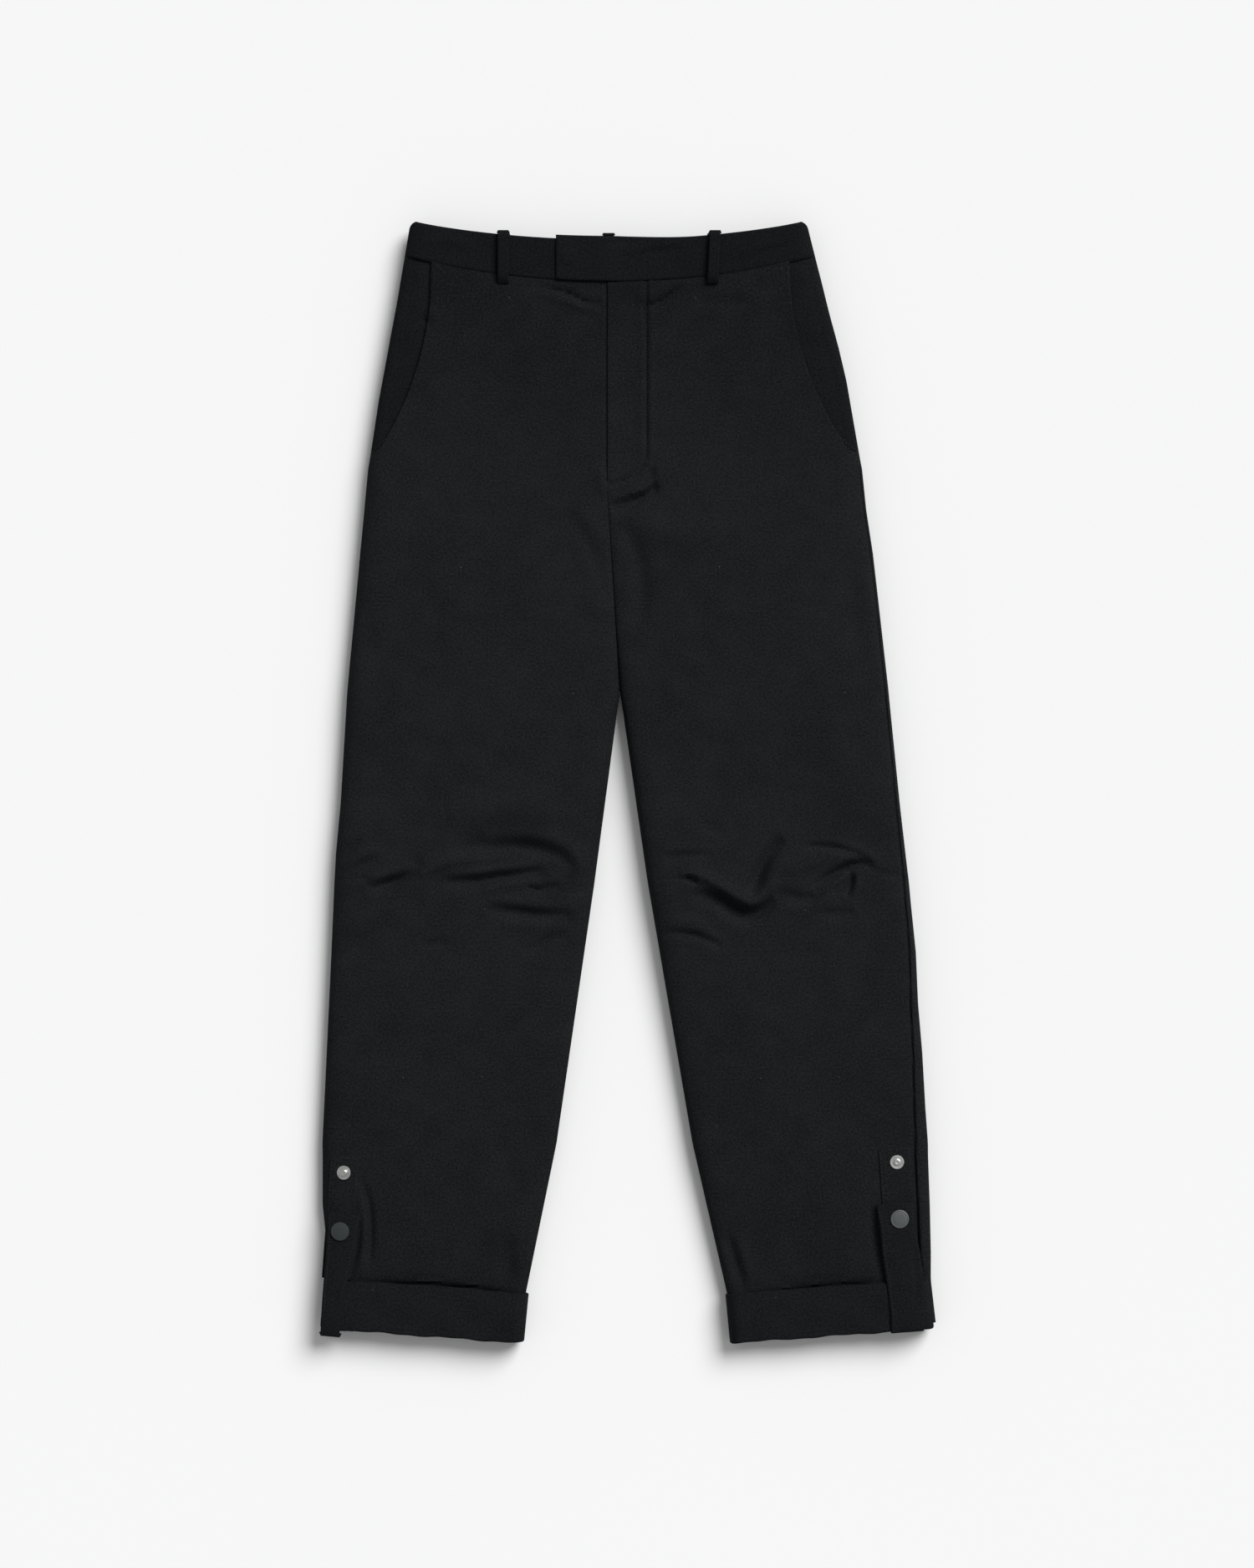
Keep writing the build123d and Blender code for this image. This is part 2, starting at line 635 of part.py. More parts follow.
# Turned-up cuffs, and on each a tab that wraps the hem and snaps to a stud on the shin
snap_reach = tab_length - snap_from_end
strip_reach = snap_reach + stud_pitch + strip_margin
tab_low = body_height + swing_gap
strip_top = shin_high + strip_cloth
for name, side in sides.items():
    turn = radians(side * hem_turn)
    inset = side * (cuff_width / 2 - tab_inset[name])
    tab_x = leg_x(side, hem_y) + inset * cos(turn)
    tab_y = hem_y + inset * sin(turn)
    along_hem = (cos(turn), sin(turn), 0)
    up_leg = (-sin(turn), cos(turn), 0)

    with BuildPart() as cuff:
        loft(cuff_tube(side, 0), ruled=True)
        loft(cuff_tube(side, cuff_cloth), ruled=True, mode=Mode.SUBTRACT)
    cuff.part.label = f"cuff_{name}"
    export_step(cuff.part, f"parts/cuff_{name}.step")

    with BuildPart() as stud_strip:
        with BuildSketch(Plane(origin=(tab_x, tab_y, shin_high), x_dir=along_hem)):
            with Locations((0, cuff_height + strip_gap)):
                strip_length = strip_reach - cuff_height - strip_gap
                Rectangle(strip_width, strip_length, align=(Align.CENTER, Align.MIN))
        extrude(amount=strip_cloth)
    stud_strip.part.label = f"stud_strip_{name}"
    export_step(stud_strip.part, f"parts/stud_strip_{name}.step")

    with BuildPart() as hem_studs:
        steps = {stud_flange_radius: stud_flange, stud_head_radius: stud_flange + stud_head}
        for radius, height in steps.items():
            with BuildSketch(Plane(origin=(tab_x, tab_y, strip_top), x_dir=along_hem)):
                with Locations((0, snap_reach), (0, snap_reach + stud_pitch)):
                    Circle(radius)
            extrude(amount=height)
    hem_studs.part.label = f"hem_studs_{name}"
    export_step(hem_studs.part, f"parts/hem_studs_{name}.step")

    with BuildPart() as hem_tab:
        with BuildSketch(Plane(origin=(tab_x, tab_y, tab_low), x_dir=along_hem)) as tab_plan:
            with Locations((0, swing_gap)):
                Rectangle(tab_width, tab_length - swing_gap, align=(Align.CENTER, Align.MIN))
            fillet(tab_plan.vertices().group_by(Axis.Y)[-1], tab_end_radius)
            with Locations((0, snap_reach)):
                Circle(socket_hole_radius, mode=Mode.SUBTRACT)
        extrude(amount=tab_cloth)
    hem_tab.part.label = f"hem_tab_{name}"
    export_step(hem_tab.part, f"parts/hem_tab_{name}.step")

    with BuildPart() as tab_root:
        with BuildSketch(Plane(origin=(tab_x, tab_y, 0), x_dir=up_leg, z_dir=along_hem)):
            with Locations((0, shin_high - panel_cloth - tab_cloth)):
                wall_height = tab_low + 2 * tab_cloth + panel_cloth - shin_high
                Rectangle(tab_cloth, wall_height, align=(Align.MAX, Align.MIN))
                Rectangle(tab_root_length, tab_cloth, align=(Align.MIN, Align.MIN))
        extrude(amount=tab_root_width / 2, both=True)
    tab_root.part.label = f"tab_root_{name}"
    export_step(tab_root.part, f"parts/tab_root_{name}.step")

    with BuildPart() as snap_socket:
        with BuildSketch(Plane(origin=(tab_x, tab_y, tab_low - socket_height), x_dir=along_hem)):
            with Locations((0, snap_reach)):
                Circle(socket_radius)
                Circle(socket_hole_radius, mode=Mode.SUBTRACT)
        extrude(amount=socket_height)
    snap_socket.part.label = f"snap_socket_{name}"
    export_step(snap_socket.part, f"parts/snap_socket_{name}.step")

    with BuildPart() as snap_cap:
        with BuildSketch(Plane(origin=(tab_x, tab_y, tab_low + tab_cloth), x_dir=along_hem)):
            with Locations((0, snap_reach)):
                Circle(cap_radius)
        extrude(amount=cap_height)
        fillet(snap_cap.edges().group_by(Axis.Z)[-1], cap_edge)
    snap_cap.part.label = f"snap_cap_{name}"
    export_step(snap_cap.part, f"parts/snap_cap_{name}.step")
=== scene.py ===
import math
import bpy
import numpy as np
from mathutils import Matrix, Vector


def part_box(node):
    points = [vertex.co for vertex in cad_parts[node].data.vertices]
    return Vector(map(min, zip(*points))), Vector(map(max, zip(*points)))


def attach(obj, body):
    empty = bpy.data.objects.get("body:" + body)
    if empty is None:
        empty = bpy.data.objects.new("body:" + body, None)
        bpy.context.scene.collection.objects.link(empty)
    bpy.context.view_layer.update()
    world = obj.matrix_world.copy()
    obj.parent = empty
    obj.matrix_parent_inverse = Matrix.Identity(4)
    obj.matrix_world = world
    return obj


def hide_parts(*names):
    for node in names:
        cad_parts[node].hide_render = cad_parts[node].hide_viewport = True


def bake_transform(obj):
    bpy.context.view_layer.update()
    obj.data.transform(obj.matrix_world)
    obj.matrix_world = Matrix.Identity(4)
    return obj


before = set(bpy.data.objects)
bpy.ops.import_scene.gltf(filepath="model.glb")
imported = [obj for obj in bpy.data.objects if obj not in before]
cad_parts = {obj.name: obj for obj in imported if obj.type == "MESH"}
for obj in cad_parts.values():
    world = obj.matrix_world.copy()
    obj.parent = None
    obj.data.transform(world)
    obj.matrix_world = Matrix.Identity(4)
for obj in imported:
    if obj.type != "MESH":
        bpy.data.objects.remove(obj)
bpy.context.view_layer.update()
print("frame loaded:", len(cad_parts), "nodes")

# Ski pants lying flat, face up. +X is the wearer's left, +Y points at the waist, everything in metres.
sides = {"right": -1, "left": 1}
mm = 0.001


def lowest(node):
    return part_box(node)[0]


def highest(node):
    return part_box(node)[1]


# places read from the frame
flyX = highest("waistband_front_right").x  # edge of the lap
flyBottom = lowest("fly_facing").y
seamMiddleY = lowest("waistband_front_right").y
seamSideY = highest("back_yoke_right").y
waistSideY = highest("waistband_back").y
waistMiddleX = (lowest("waistband_back").x + highest("waistband_back").x) / 2
waistHalf = (highest("waistband_back").x - lowest("waistband_back").x) / 2
waistDip = 0.017  # middle of the top edge below its corners
mouthEndY = lowest("pocket_facing_right").y
kneeY = highest("front_shin_right").y
legEndY = -0.499


# light, floor and camera
view = {"lens": 100, "sensor": 36, "above": 4.034, "centre": (0.0, -0.0023)}
light = {"sunStrength": 3.5, "sunSpread": 36, "sunTilt": (-49, 0, -40), "sky": 0.375, "floorLevel": -0.0006}


def makeStage():
    bpy.ops.object.select_all(action="DESELECT")
    bpy.ops.object.camera_add(location=(view["centre"][0], view["centre"][1], view["above"]))
    camera = bpy.context.object
    camera.data.lens = view["lens"]
    camera.data.sensor_width = view["sensor"]
    bpy.context.scene.camera = camera
    tilt = [math.radians(angle) for angle in light["sunTilt"]]
    bpy.ops.object.light_add(type="SUN", rotation=tilt)
    sun = bpy.context.object.data
    sun.energy = light["sunStrength"]
    sun.angle = math.radians(light["sunSpread"])
    world = bpy.data.worlds.new("studio")
    bpy.context.scene.world = world
    world.use_nodes = True
    world.node_tree.nodes["Background"].inputs["Color"].default_value = (1, 1, 1, 1)
    world.node_tree.nodes["Background"].inputs["Strength"].default_value = light["sky"]
    bpy.ops.mesh.primitive_plane_add(size=60, location=(0, 0, light["floorLevel"]))
    floor = bpy.context.object
    floor.name = "studioFloor"
    floor.data.materials.append(floorPaint())
    bpy.context.scene.view_settings.view_transform = "Standard"
    print("stage, light and camera are set")


# shader maths
class Wire:
    def __init__(self, surface, socket):
        self.surface = surface
        self.socket = socket

    def math(self, operation, *others):
        return self.surface.node("ShaderNodeMath", {"operation": operation}, dict(enumerate((self, *others))))

    def __add__(self, other):
        return self.math("ADD", other)

    def __radd__(self, other):
        return self.math("ADD", other)

    def __sub__(self, other):
        return self.math("SUBTRACT", other)

    def __rsub__(self, other):
        return self.surface.node("ShaderNodeMath", {"operation": "SUBTRACT"}, {0: other, 1: self})

    def __mul__(self, other):
        return self.math("MULTIPLY", other)

    def __rmul__(self, other):
        return self.math("MULTIPLY", other)

    def __lt__(self, other):
        return self.math("LESS_THAN", other)


class Surface:
    def __init__(self, name):
        self.material = bpy.data.materials.new(name)
        self.material.use_nodes = True
        self.tree = self.material.node_tree
        self.shader = self.tree.nodes["Principled BSDF"]

    def node(self, kind, settings, values, output=0):
        made = self.tree.nodes.new(kind)
        for key, value in settings.items():
            setattr(made, key, value)
        for key, value in values.items():
            self.put(made.inputs[key], value)
        return Wire(self, made.outputs[output])

    def put(self, socket, value):
        if isinstance(value, Wire):
            self.tree.links.new(value.socket, socket)
        else:
            socket.default_value = value

    def set(self, **values):
        for key, value in values.items():
            self.put(self.shader.inputs[key], value)

    def noise(self, place, scale, detail=2.0, rough=0.5):
        values = {"Vector": place, "Scale": scale, "Detail": detail, "Roughness": rough}
        return self.node("ShaderNodeTexNoise", {}, values)

    def mix(self, factor, first, second):
        # sockets 0, 6 and 7 are the colour mix's factor and its two colours, and 2 is its result
        return self.node("ShaderNodeMix", {"data_type": "RGBA"}, {0: factor, 6: first, 7: second}, output=2)

    def bump(self, height, distance, strength=1.0):
        values = {"Height": height, "Distance": distance, "Strength": strength}
        return self.node("ShaderNodeBump", {}, values)


def floorPaint():
    surface = Surface("floorPaint")
    place = surface.node("ShaderNodeTexCoord", {}, {}, output=3)
    shade = surface.noise(place, 0.6)
    surface.set(**{
        "Base Color": surface.mix(shade, (0.83, 0.83, 0.835, 1), (0.85, 0.85, 0.85, 1)),
        "Roughness": 0.9,
        "Specular IOR Level": 0.1,
    })
    return surface.material


planMap = "clothPlan"  # each sheet's own map, in metres over the flat cloth


grain = {  # sizes of the pattern for each metre of cloth, then how it is mixed
    "speckle": 520.0, "mottle": 46.0, "worn": 8.0, "lint": 40.0, "lintSize": 0.020, "lintColour": (0.11, 0.115, 0.12, 1),
    # the last two keys set where the painted shade begins, toward the top and toward the bottom of each sheet, in
    # metres along the cloth
    "middle": 0.38, "contrast": 4.2, "paintedShadeTopFrom": 0.78, "paintedShadeBottomFrom": 0.33,
}


def clothPaint(name, look):
    surface = Surface(name)
    if look["ownMap"]:
        place = surface.node("ShaderNodeUVMap", {"uv_map": planMap}, {})
    else:
        place = surface.node("ShaderNodeTexCoord", {}, {}, output=3)
    across = surface.node("ShaderNodeSeparateXYZ", {}, {0: place})
    along = Wire(surface, across.socket.node.outputs[1])
    turn = 2 * math.pi / look["wale"]
    wale = (across * turn + along * turn * look["slope"]).math("SINE")
    yarn = (along * turn * 2.1).math("SINE")
    speckle = surface.noise(place, grain["speckle"], 3.0, 0.7)
    mottle = surface.noise(place, grain["mottle"], 4.0, 0.55)
    worn = surface.noise(place, grain["worn"], 3.0, 0.5)
    tone = speckle * 0.74 + mottle * 0.14 + worn * 0.12 + wale * 0.02
    # painted shade: the colour darkens above and below these marks, standing in for the less lit top and bottom of
    # the cloth
    high = (along - grain["paintedShadeTopFrom"]).math("MAXIMUM", 0.0) * look["paintedShadeTop"]
    low = (grain["paintedShadeBottomFrom"] - along).math("MAXIMUM", 0.0) * look["paintedShadeBottom"]
    shade = (tone - grain["middle"]) * grain["contrast"] - high - low
    colour = surface.mix(shade.math("MINIMUM", 1.0).math("MAXIMUM", 0.0), look["dark"], look["light"])
    lint = surface.node("ShaderNodeTexVoronoi", {"feature": "F1"}, {"Vector": place, "Scale": grain["lint"]})
    colour = surface.mix((lint < grain["lintSize"]) * look["lint"], colour, grain["lintColour"])
    surface.set(**{
        "Base Color": colour,
        "Roughness": mottle * 0.12 + look["rough"],
        "Specular IOR Level": look["gloss"],
        "Normal": surface.bump(wale * 0.2 + yarn * 0.1 + speckle, look["depth"], 0.8),
    })
    return surface.material


def metalPaint(name, look):
    surface = Surface(name)
    place = surface.node("ShaderNodeTexCoord", {}, {}, output=3)
    grain = surface.noise(place, look["grain"], 3.0, 0.6)
    wear = surface.noise(place, 90.0, 4.0, 0.6)
    surface.set(**{
        "Base Color": surface.mix(wear, look["dark"], look["light"]),
        "Metallic": look["metallic"],
        "Roughness": wear * 0.2 + look["rough"],
        "Normal": surface.bump(grain, 0.00002, 0.4),
    })
    return surface.material


def tint(r, g, b):
    return (r, g, b, 1)


twill = {
    "wale": 0.00055, "slope": 1.3, "rough": 0.8, "gloss": 0.05, "depth": 0.00009, "lint": 0.5, "ownMap": True,
    "paintedShadeTop": 0.0, "paintedShadeBottom": 0.0,
}
sewingThread = dict(twill, wale=0.0002, dark=tint(0.0035, 0.004, 0.0045), light=tint(0.0085, 0.009, 0.0098),
                    rough=0.6, gloss=0.3, ownMap=False, lint=0.0)
cloths = {
    # only the shell gets the painted shade toward the top and bottom of each sheet
    "shell_cloth": dict(twill, dark=tint(0.0047, 0.0054, 0.0061), light=tint(0.0145, 0.0158, 0.0175),
                        paintedShadeTop=1.4, paintedShadeBottom=0.5),
    "band_cloth": dict(twill, dark=tint(0.0029, 0.0033, 0.0040), light=tint(0.0094, 0.0102, 0.0117)),
    "tab_cloth": dict(twill, dark=tint(0.0037, 0.0042, 0.0049), light=tint(0.0113, 0.0124, 0.0139)),
    "facing_cloth": dict(twill, dark=tint(0.0033, 0.0037, 0.0044), light=tint(0.0101, 0.0110, 0.0125)),
    "lining_cloth": dict(twill, wale=0.0003, slope=0.0, dark=tint(0.010, 0.010, 0.011),
                         light=tint(0.016, 0.016, 0.018), rough=0.5, gloss=0.3, depth=0.00003, lint=0.0),
    "thread": sewingThread,
    # the cuffs' paint: the shell cloth made darker, painted shade on the same cloth
    "cuff_painted_shade": dict(twill, dark=tint(0.0034, 0.0039, 0.0045), light=tint(0.0115, 0.0125, 0.0140)),
    "zip_tape_cloth": dict(sewingThread, wale=0.0007, slope=0.0),
}
metals = {
    "zip_coil_plastic": {"grain": 900.0, "dark": tint(0.010, 0.010, 0.011), "light": tint(0.02, 0.02, 0.022),
                         "metallic": 0.0, "rough": 0.35},
    "zip_metal": {"grain": 700.0, "dark": tint(0.02, 0.02, 0.022), "light": tint(0.05, 0.05, 0.052),
                  "metallic": 0.7, "rough": 0.35},
    "snap_steel": {"grain": 1500.0, "dark": tint(0.52, 0.52, 0.51), "light": tint(0.66, 0.66, 0.65),
                   "metallic": 1.0, "rough": 0.28},
    "snap_cap_enamel": {"grain": 900.0, "dark": tint(0.060, 0.068, 0.068), "light": tint(0.098, 0.108, 0.108),
                        "metallic": 0.4, "rough": 0.42},
    # the same cap enamel made darker and duller for the right cap: painted shade
    "snap_cap_right": {"grain": 900.0, "dark": tint(0.010, 0.0145, 0.0145), "light": tint(0.018, 0.024, 0.024),
                       "metallic": 0.0, "rough": 0.6},
}
paints = {}


def mixPaints():
    for paintName, look in cloths.items():
        paints[paintName] = clothPaint(paintName, look)
    for paintName, look in metals.items():
        paints[paintName] = metalPaint(paintName, look)
    print("materials are mixed:", len(paints))


# the outline, read from the frame by cutting its nodes across
def edgeEnds(nodeNames):
    starts, ends = [], []
    for node in nodeNames:
        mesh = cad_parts[node].data
        points = np.zeros(len(mesh.vertices) * 3, np.float32)
        mesh.vertices.foreach_get("co", points)
        points = points.reshape(-1, 3).astype(float)
        pairs = np.zeros(len(mesh.edges) * 2, np.int32)
        mesh.edges.foreach_get("vertices", pairs)
        pairs = pairs.reshape(-1, 2)
        starts.append(points[pairs[:, 0]])
        ends.append(points[pairs[:, 1]])
    return np.concatenate(starts), np.concatenate(ends)


def slices(nodeNames, low, high, count=220):
    starts, ends = edgeEnds(nodeNames)
    rows = []
    for y in np.linspace(low, high, count):
        crossing = (starts[:, 1] - y) * (ends[:, 1] - y) < 0
        if not crossing.any():
            continue
        a, b = starts[crossing], ends[crossing]
        cut = a + (b - a) * ((y - a[:, 1]) / (b[:, 1] - a[:, 1]))[:, None]
        rows.append((y, cut[:, 0].min(), cut[:, 0].max(), cut[:, 2].min(), cut[:, 2].max()))
    return np.array(rows)


outline = {}


def readOutline():
    for legName, side in sides.items():
        back = [f"{panel}_{legName}" for panel in ("back_yoke", "back_seat", "back_thigh", "back_shin")]
        front = [f"front_thigh_{legName}", f"front_shin_{legName}"]
        whole = slices(back + ["waistband_back"], legEndY, waistSideY - 0.0006)
        legs = slices(back, legEndY, seamMiddleY - 0.001)
        fronts = slices(front, legEndY, seamMiddleY - 0.001)
        mouth = slices(front, mouthEndY + 0.014, seamSideY - 0.006)
        outline[side] = {
            "y": whole[:, 0], "outer": whole[:, 2] if side > 0 else whole[:, 1], "low": whole[:, 3],
            "legY": legs[:, 0], "inner": legs[:, 1] if side > 0 else legs[:, 2],
            "frontY": fronts[:, 0], "top": fronts[:, 4],
            "mouthY": mouth[:, 0], "mouth": mouth[:, 2] if side > 0 else mouth[:, 1],
        }
    print("outline read from the frame")


ease = {  # how much fuller the cloth lies than the frame's outline, by height, in mm
    1: [(-499, 5), (-435, 5.4), (-390, 4.5), (-345, 3), (-300, 3), (-250, 3.8), (-205, 3.2), (-158, 4.6),
        (-112, 3.2), (-66, 2.3), (-20, 1.6), (75, 1.5), (165, 2.4), (210, 2.8), (250, 1.6), (300, 2.6),
        (340, 4.2), (370, 5.4), (400, 4.8), (430, 3.2), (460, 2.2), (484, 1), (510, 0)],
    -1: [(-499, -1), (-435, -0.5), (-390, 3), (-345, 1.8), (-158, 1.6), (-66, 2), (-20, 0.4), (300, 0.4),
         (350, 1.5), (440, 0.8), (510, 0)],
}


def outerX(side, y):
    more = np.array(ease[side]) * mm
    cut = np.interp(y, outline[side]["y"], outline[side]["outer"])
    return cut + side * np.interp(y, more[:, 0], more[:, 1])


def innerX(side, y):
    return np.interp(y, outline[side]["legY"], outline[side]["inner"])


def topZ(side, y):
    return np.interp(y, outline[side]["frontY"], outline[side]["top"])


def lowZ(side, y):
    return np.interp(y, outline[side]["y"], outline[side]["low"])


def mouthX(side, y):
    # the pocket's mouth; below it, the side of the hip
    mouth = np.interp(y, outline[side]["mouthY"], outline[side]["mouth"])
    lower = outline[side]["mouthY"][0]
    share = np.clip((y - (mouthEndY + 0.012)) / (lower - mouthEndY - 0.012), 0, 1)
    return outerX(side, y) + (mouth - outerX(side, y)) * np.where(y > lower, 1, share)


def seamY(x):
    # lower edge of the waistband
    return seamMiddleY + (seamSideY - seamMiddleY) * ((x - waistMiddleX) / waistHalf) ** 2


def waistY(x):
    # upper edge of the waistband
    return waistSideY - waistDip + waistDip * ((x - waistMiddleX) / waistHalf) ** 2


# folds in the cloth: height and width in mm, lean, then the route in mm
# folds, as height and half width in mm, then the route, then how much wider one side is than the other
kneeFolds = {
    "right": [
        (3.5, 6, [(-215, -101), (-200, -93), (-185, -83), (-165, -75), (-140, -71), (-110, -68.5), (-85, -69),
                  (-68, -72), (-57, -80), (-45, -91)], 0.2),
        (-4.2, 6.5, [(-241, -98), (-228, -94), (-214, -88), (-200, -82), (-188, -74)]),
        (-3.3, 9, [(-158, -63), (-125, -59), (-95, -58), (-72, -61), (-56, -70), (-46, -80)]),
        (-1.7, 16, [(-130, -46), (-100, -42), (-74, -44)]),
        (-3.7, 6, [(-168, -91), (-140, -90), (-118, -86), (-95, -83), (-76, -79)]),
        (1.7, 5, [(-135, -98), (-105, -93), (-84, -89)]),
        (-3.0, 3.4, [(-93, -95), (-83, -97.5), (-72, -96.5), (-62, -97)]),
        (-3.0, 6.5, [(-128, -115), (-104, -118), (-78, -121), (-52, -120)]),
        (1.6, 7, [(-116, -128), (-86, -131), (-56, -129)]),
        (-2.2, 5.5, [(-97, -155), (-86, -151), (-72, -142), (-56, -137)]),
        (-2.2, 8, [(-263, -167), (-246, -151), (-231, -138), (-214, -121)]),
        (1.4, 9, [(-258, -140), (-240, -126), (-222, -112)]),
        (-2.1, 4, [(-266, -73), (-254, -61), (-245, -52)]),
        (1.7, 4.5, [(-264, -84), (-246, -70), (-224, -60)]),
        (-1.7, 4, [(-260, -86), (-244, -76), (-228, -72)]),
        (-1.4, 5, [(-190, -149), (-178, -146), (-166, -144)]),
    ],
    "left": [
        (5.2, 5.5, [(49, -88), (56, -84.5), (66, -86), (78, -92), (92, -100), (104, -107), (115, -111.5),
                    (124, -104), (132, -97), (142, -92)], 0.15),
        (-5.8, 7, [(60, -101), (75, -104), (88, -109), (98, -116), (110, -121), (122, -118), (135, -107)]),
        (-5.0, 6.5, [(115, -105), (120, -92), (127, -77), (135, -65), (145, -54)]),
        (3.0, 9, [(128, -98), (141, -82), (156, -69), (170, -62)]),
        (-2.3, 7, [(138, -99), (150, -104), (165, -106), (178, -99)]),
        (-3.5, 3.4, [(51, -89), (59, -88), (66, -93)]),
        (-4.6, 5, [(170, -98), (182, -88), (194, -81), (206, -75.5), (218, -73.5), (229, -78)]),
        (3.3, 7, [(150, -86), (170, -76), (190, -69), (210, -67), (225, -70), (235, -78)]),
        (3.0, 5, [(170, -106), (180, -99), (190, -92), (200, -86), (214, -80.5), (229, -82)]),
        (-2.4, 3.6, [(164, -58), (188, -59), (205, -63), (224, -69)]),
        (-3.1, 4, [(206, -82), (207, -92), (203, -106)]),
        (1.8, 8, [(146, -117), (170, -111), (192, -104)]),
        (-1.8, 7, [(176, -117), (192, -118), (208, -117)]),
        (-2.3, 4, [(34, -138), (50, -138), (66, -141), (88, -150)]),
        (1.6, 5, [(36, -130), (56, -129), (80, -138)]),
        (-1.7, 5, [(34, -68), (55, -66), (78, -66)]),
        (-1.2, 6, [(66, -34), (80, -44), (94, -52)]),
    ],
}
seatFolds = {
    "right": [
        (-2.7, 3.5, [(-97, 458), (-74, 456), (-56, 452), (-40, 444), (-22, 440)]),
        (2.2, 4, [(-80, 446), (-58, 444), (-40, 436), (-24, 433)]),
        (-1.8, 4, [(-88, 440), (-70, 446), (-52, 447)]),
        (2.1, 6, [(-26, 292), (-23, 276), (-20, 262)]),
        (-2.4, 8, [(-60, 250), (-40, 228), (-26, 196), (-18, 160)]),
        (2.4, 14, [(-46, 262), (-34, 228), (-26, 190), (-24, 150)]),
        (-1.8, 3, [(-190, 428), (-184, 424), (-177, 422)]),
        (-2.1, 14, [(-250, 190), (-236, 120), (-226, 40)]),
    ],
    "left": [
        (-2.8, 4, [(12, 436), (26, 441), (40, 449), (52, 458)]),
        (2.0, 4, [(8, 444), (22, 450), (36, 458)]),
        (-1.8, 4, [(62, 444), (88, 441), (116, 443)]),
        (3.3, 6, [(-12, 258), (6, 266), (22, 276), (32, 292)], 0.2),
        (-3.6, 5, [(-14, 248), (2, 256), (16, 264), (28, 274)]),
        (-2.4, 3.5, [(23, 290), (24, 276), (27, 262)]),
        (-3.0, 8, [(-8, 240), (8, 214), (14, 180), (10, 140)]),
        (2.4, 14, [(6, 250), (30, 232), (58, 226), (90, 232)]),
        (-2.2, 12, [(206, 210), (212, 150), (220, 90)]),
        (1.8, 16, [(190, 60), (204, 10), (214, -30)]),
    ],
}
hemFolds = {
    "right": [
        (-3.2, 3.2, [(-246, -366), (-241, -378), (-237, -395), (-236, -420), (-237, -446)]),
        (1.8, 4, [(-250, -370), (-245, -390), (-243, -420), (-245, -456)]),
        (-2.0, 3, [(-244, -392), (-247, -420), (-253, -446), (-259, -470)]),
        (-3.5, 9, [(-104, -420), (-108, -440), (-112, -458), (-122, -470)]),
        (1.9, 10, [(-98, -392), (-102, -420), (-104, -450)]),
        (-4.1, 5, [(-262, -459), (-200, -461), (-160, -464), (-120, -468), (-100, -472)]),
        (-1.6, 12, [(-120, -330), (-106, -370), (-102, -400)]),
    ],
    "left": [
        (-3.0, 5, [(92, -418), (98, -436), (104, -456), (108, -474)]),
        (2.2, 6, [(100, -414), (107, -436), (112, -456)]),
        (-4.3, 5, [(104, -472), (150, -468), (190, -463), (240, -459)]),
        (-3.5, 5, [(228, -390), (230, -420), (234, -446), (238, -462)]),
        (-2.0, 14, [(150, -452), (158, -420), (176, -392)]),
        (1.6, 14, [(134, -430), (142, -400), (160, -372)]),
        (-1.8, 8, [(262, -380), (264, -420), (266, -460)]),
    ],
}
seamLines = {  # how far in from the outline the long seams lie, by height: y then distance, in mm
    "right": {"outer": [(-499, 2.5), (440, 2.5)], "inner": [(-499, 3.4), (40, 3.0), (83, 1.0)]},
    "left": {"outer": [(-474, 6.0), (-435, 11.3), (-343, 12.7), (-204, 7.7), (-50, 4.6), (227, 2.8)],
             "inner": [(-499, 1.6), (83, 1.0)]},
}


darts = {  # seam lines let in at the knees, in mm
    "right": [[(-268, -91.5), (-254, -90.6), (-239, -89)], [(-78, -95.4), (-54, -97), (-33, -98.6)],
              [(-66, -101), (-50, -102.4), (-36, -103)]],
    "left": [[(28, -97.6), (40, -97), (53, -95.4)], [(29, -91.2), (38, -90.6), (47, -90.2)],
             [(210, -83.5), (234, -86), (255, -89.6)], [(222, -80.5), (236, -83), (252, -86)]],
}


def curveThrough(points, count):
    # a smooth line through a few points, evenly divided
    points = np.array(points, float)
    ends = np.vstack([2 * points[0] - points[1], points, 2 * points[-1] - points[-2]])
    line = []
    for i in range(1, len(ends) - 2):
        before, a, b, after = ends[i - 1], ends[i], ends[i + 1], ends[i + 2]
        for t in np.linspace(0, 1, 16, endpoint=False):
            line.append(0.5 * (2 * a + (b - before) * t + (2 * before - 5 * a + 4 * b - after) * t ** 2
                               + (3 * a - before - 3 * b + after) * t ** 3))
    line.append(points[-1])
    line = np.array(line)
    gone = np.concatenate([[0], np.cumsum(np.linalg.norm(np.diff(line, axis=0), axis=1))])
    steps = np.linspace(0, gone[-1], count)
    return np.stack([np.interp(steps, gone, line[:, k]) for k in range(line.shape[1])], 1)


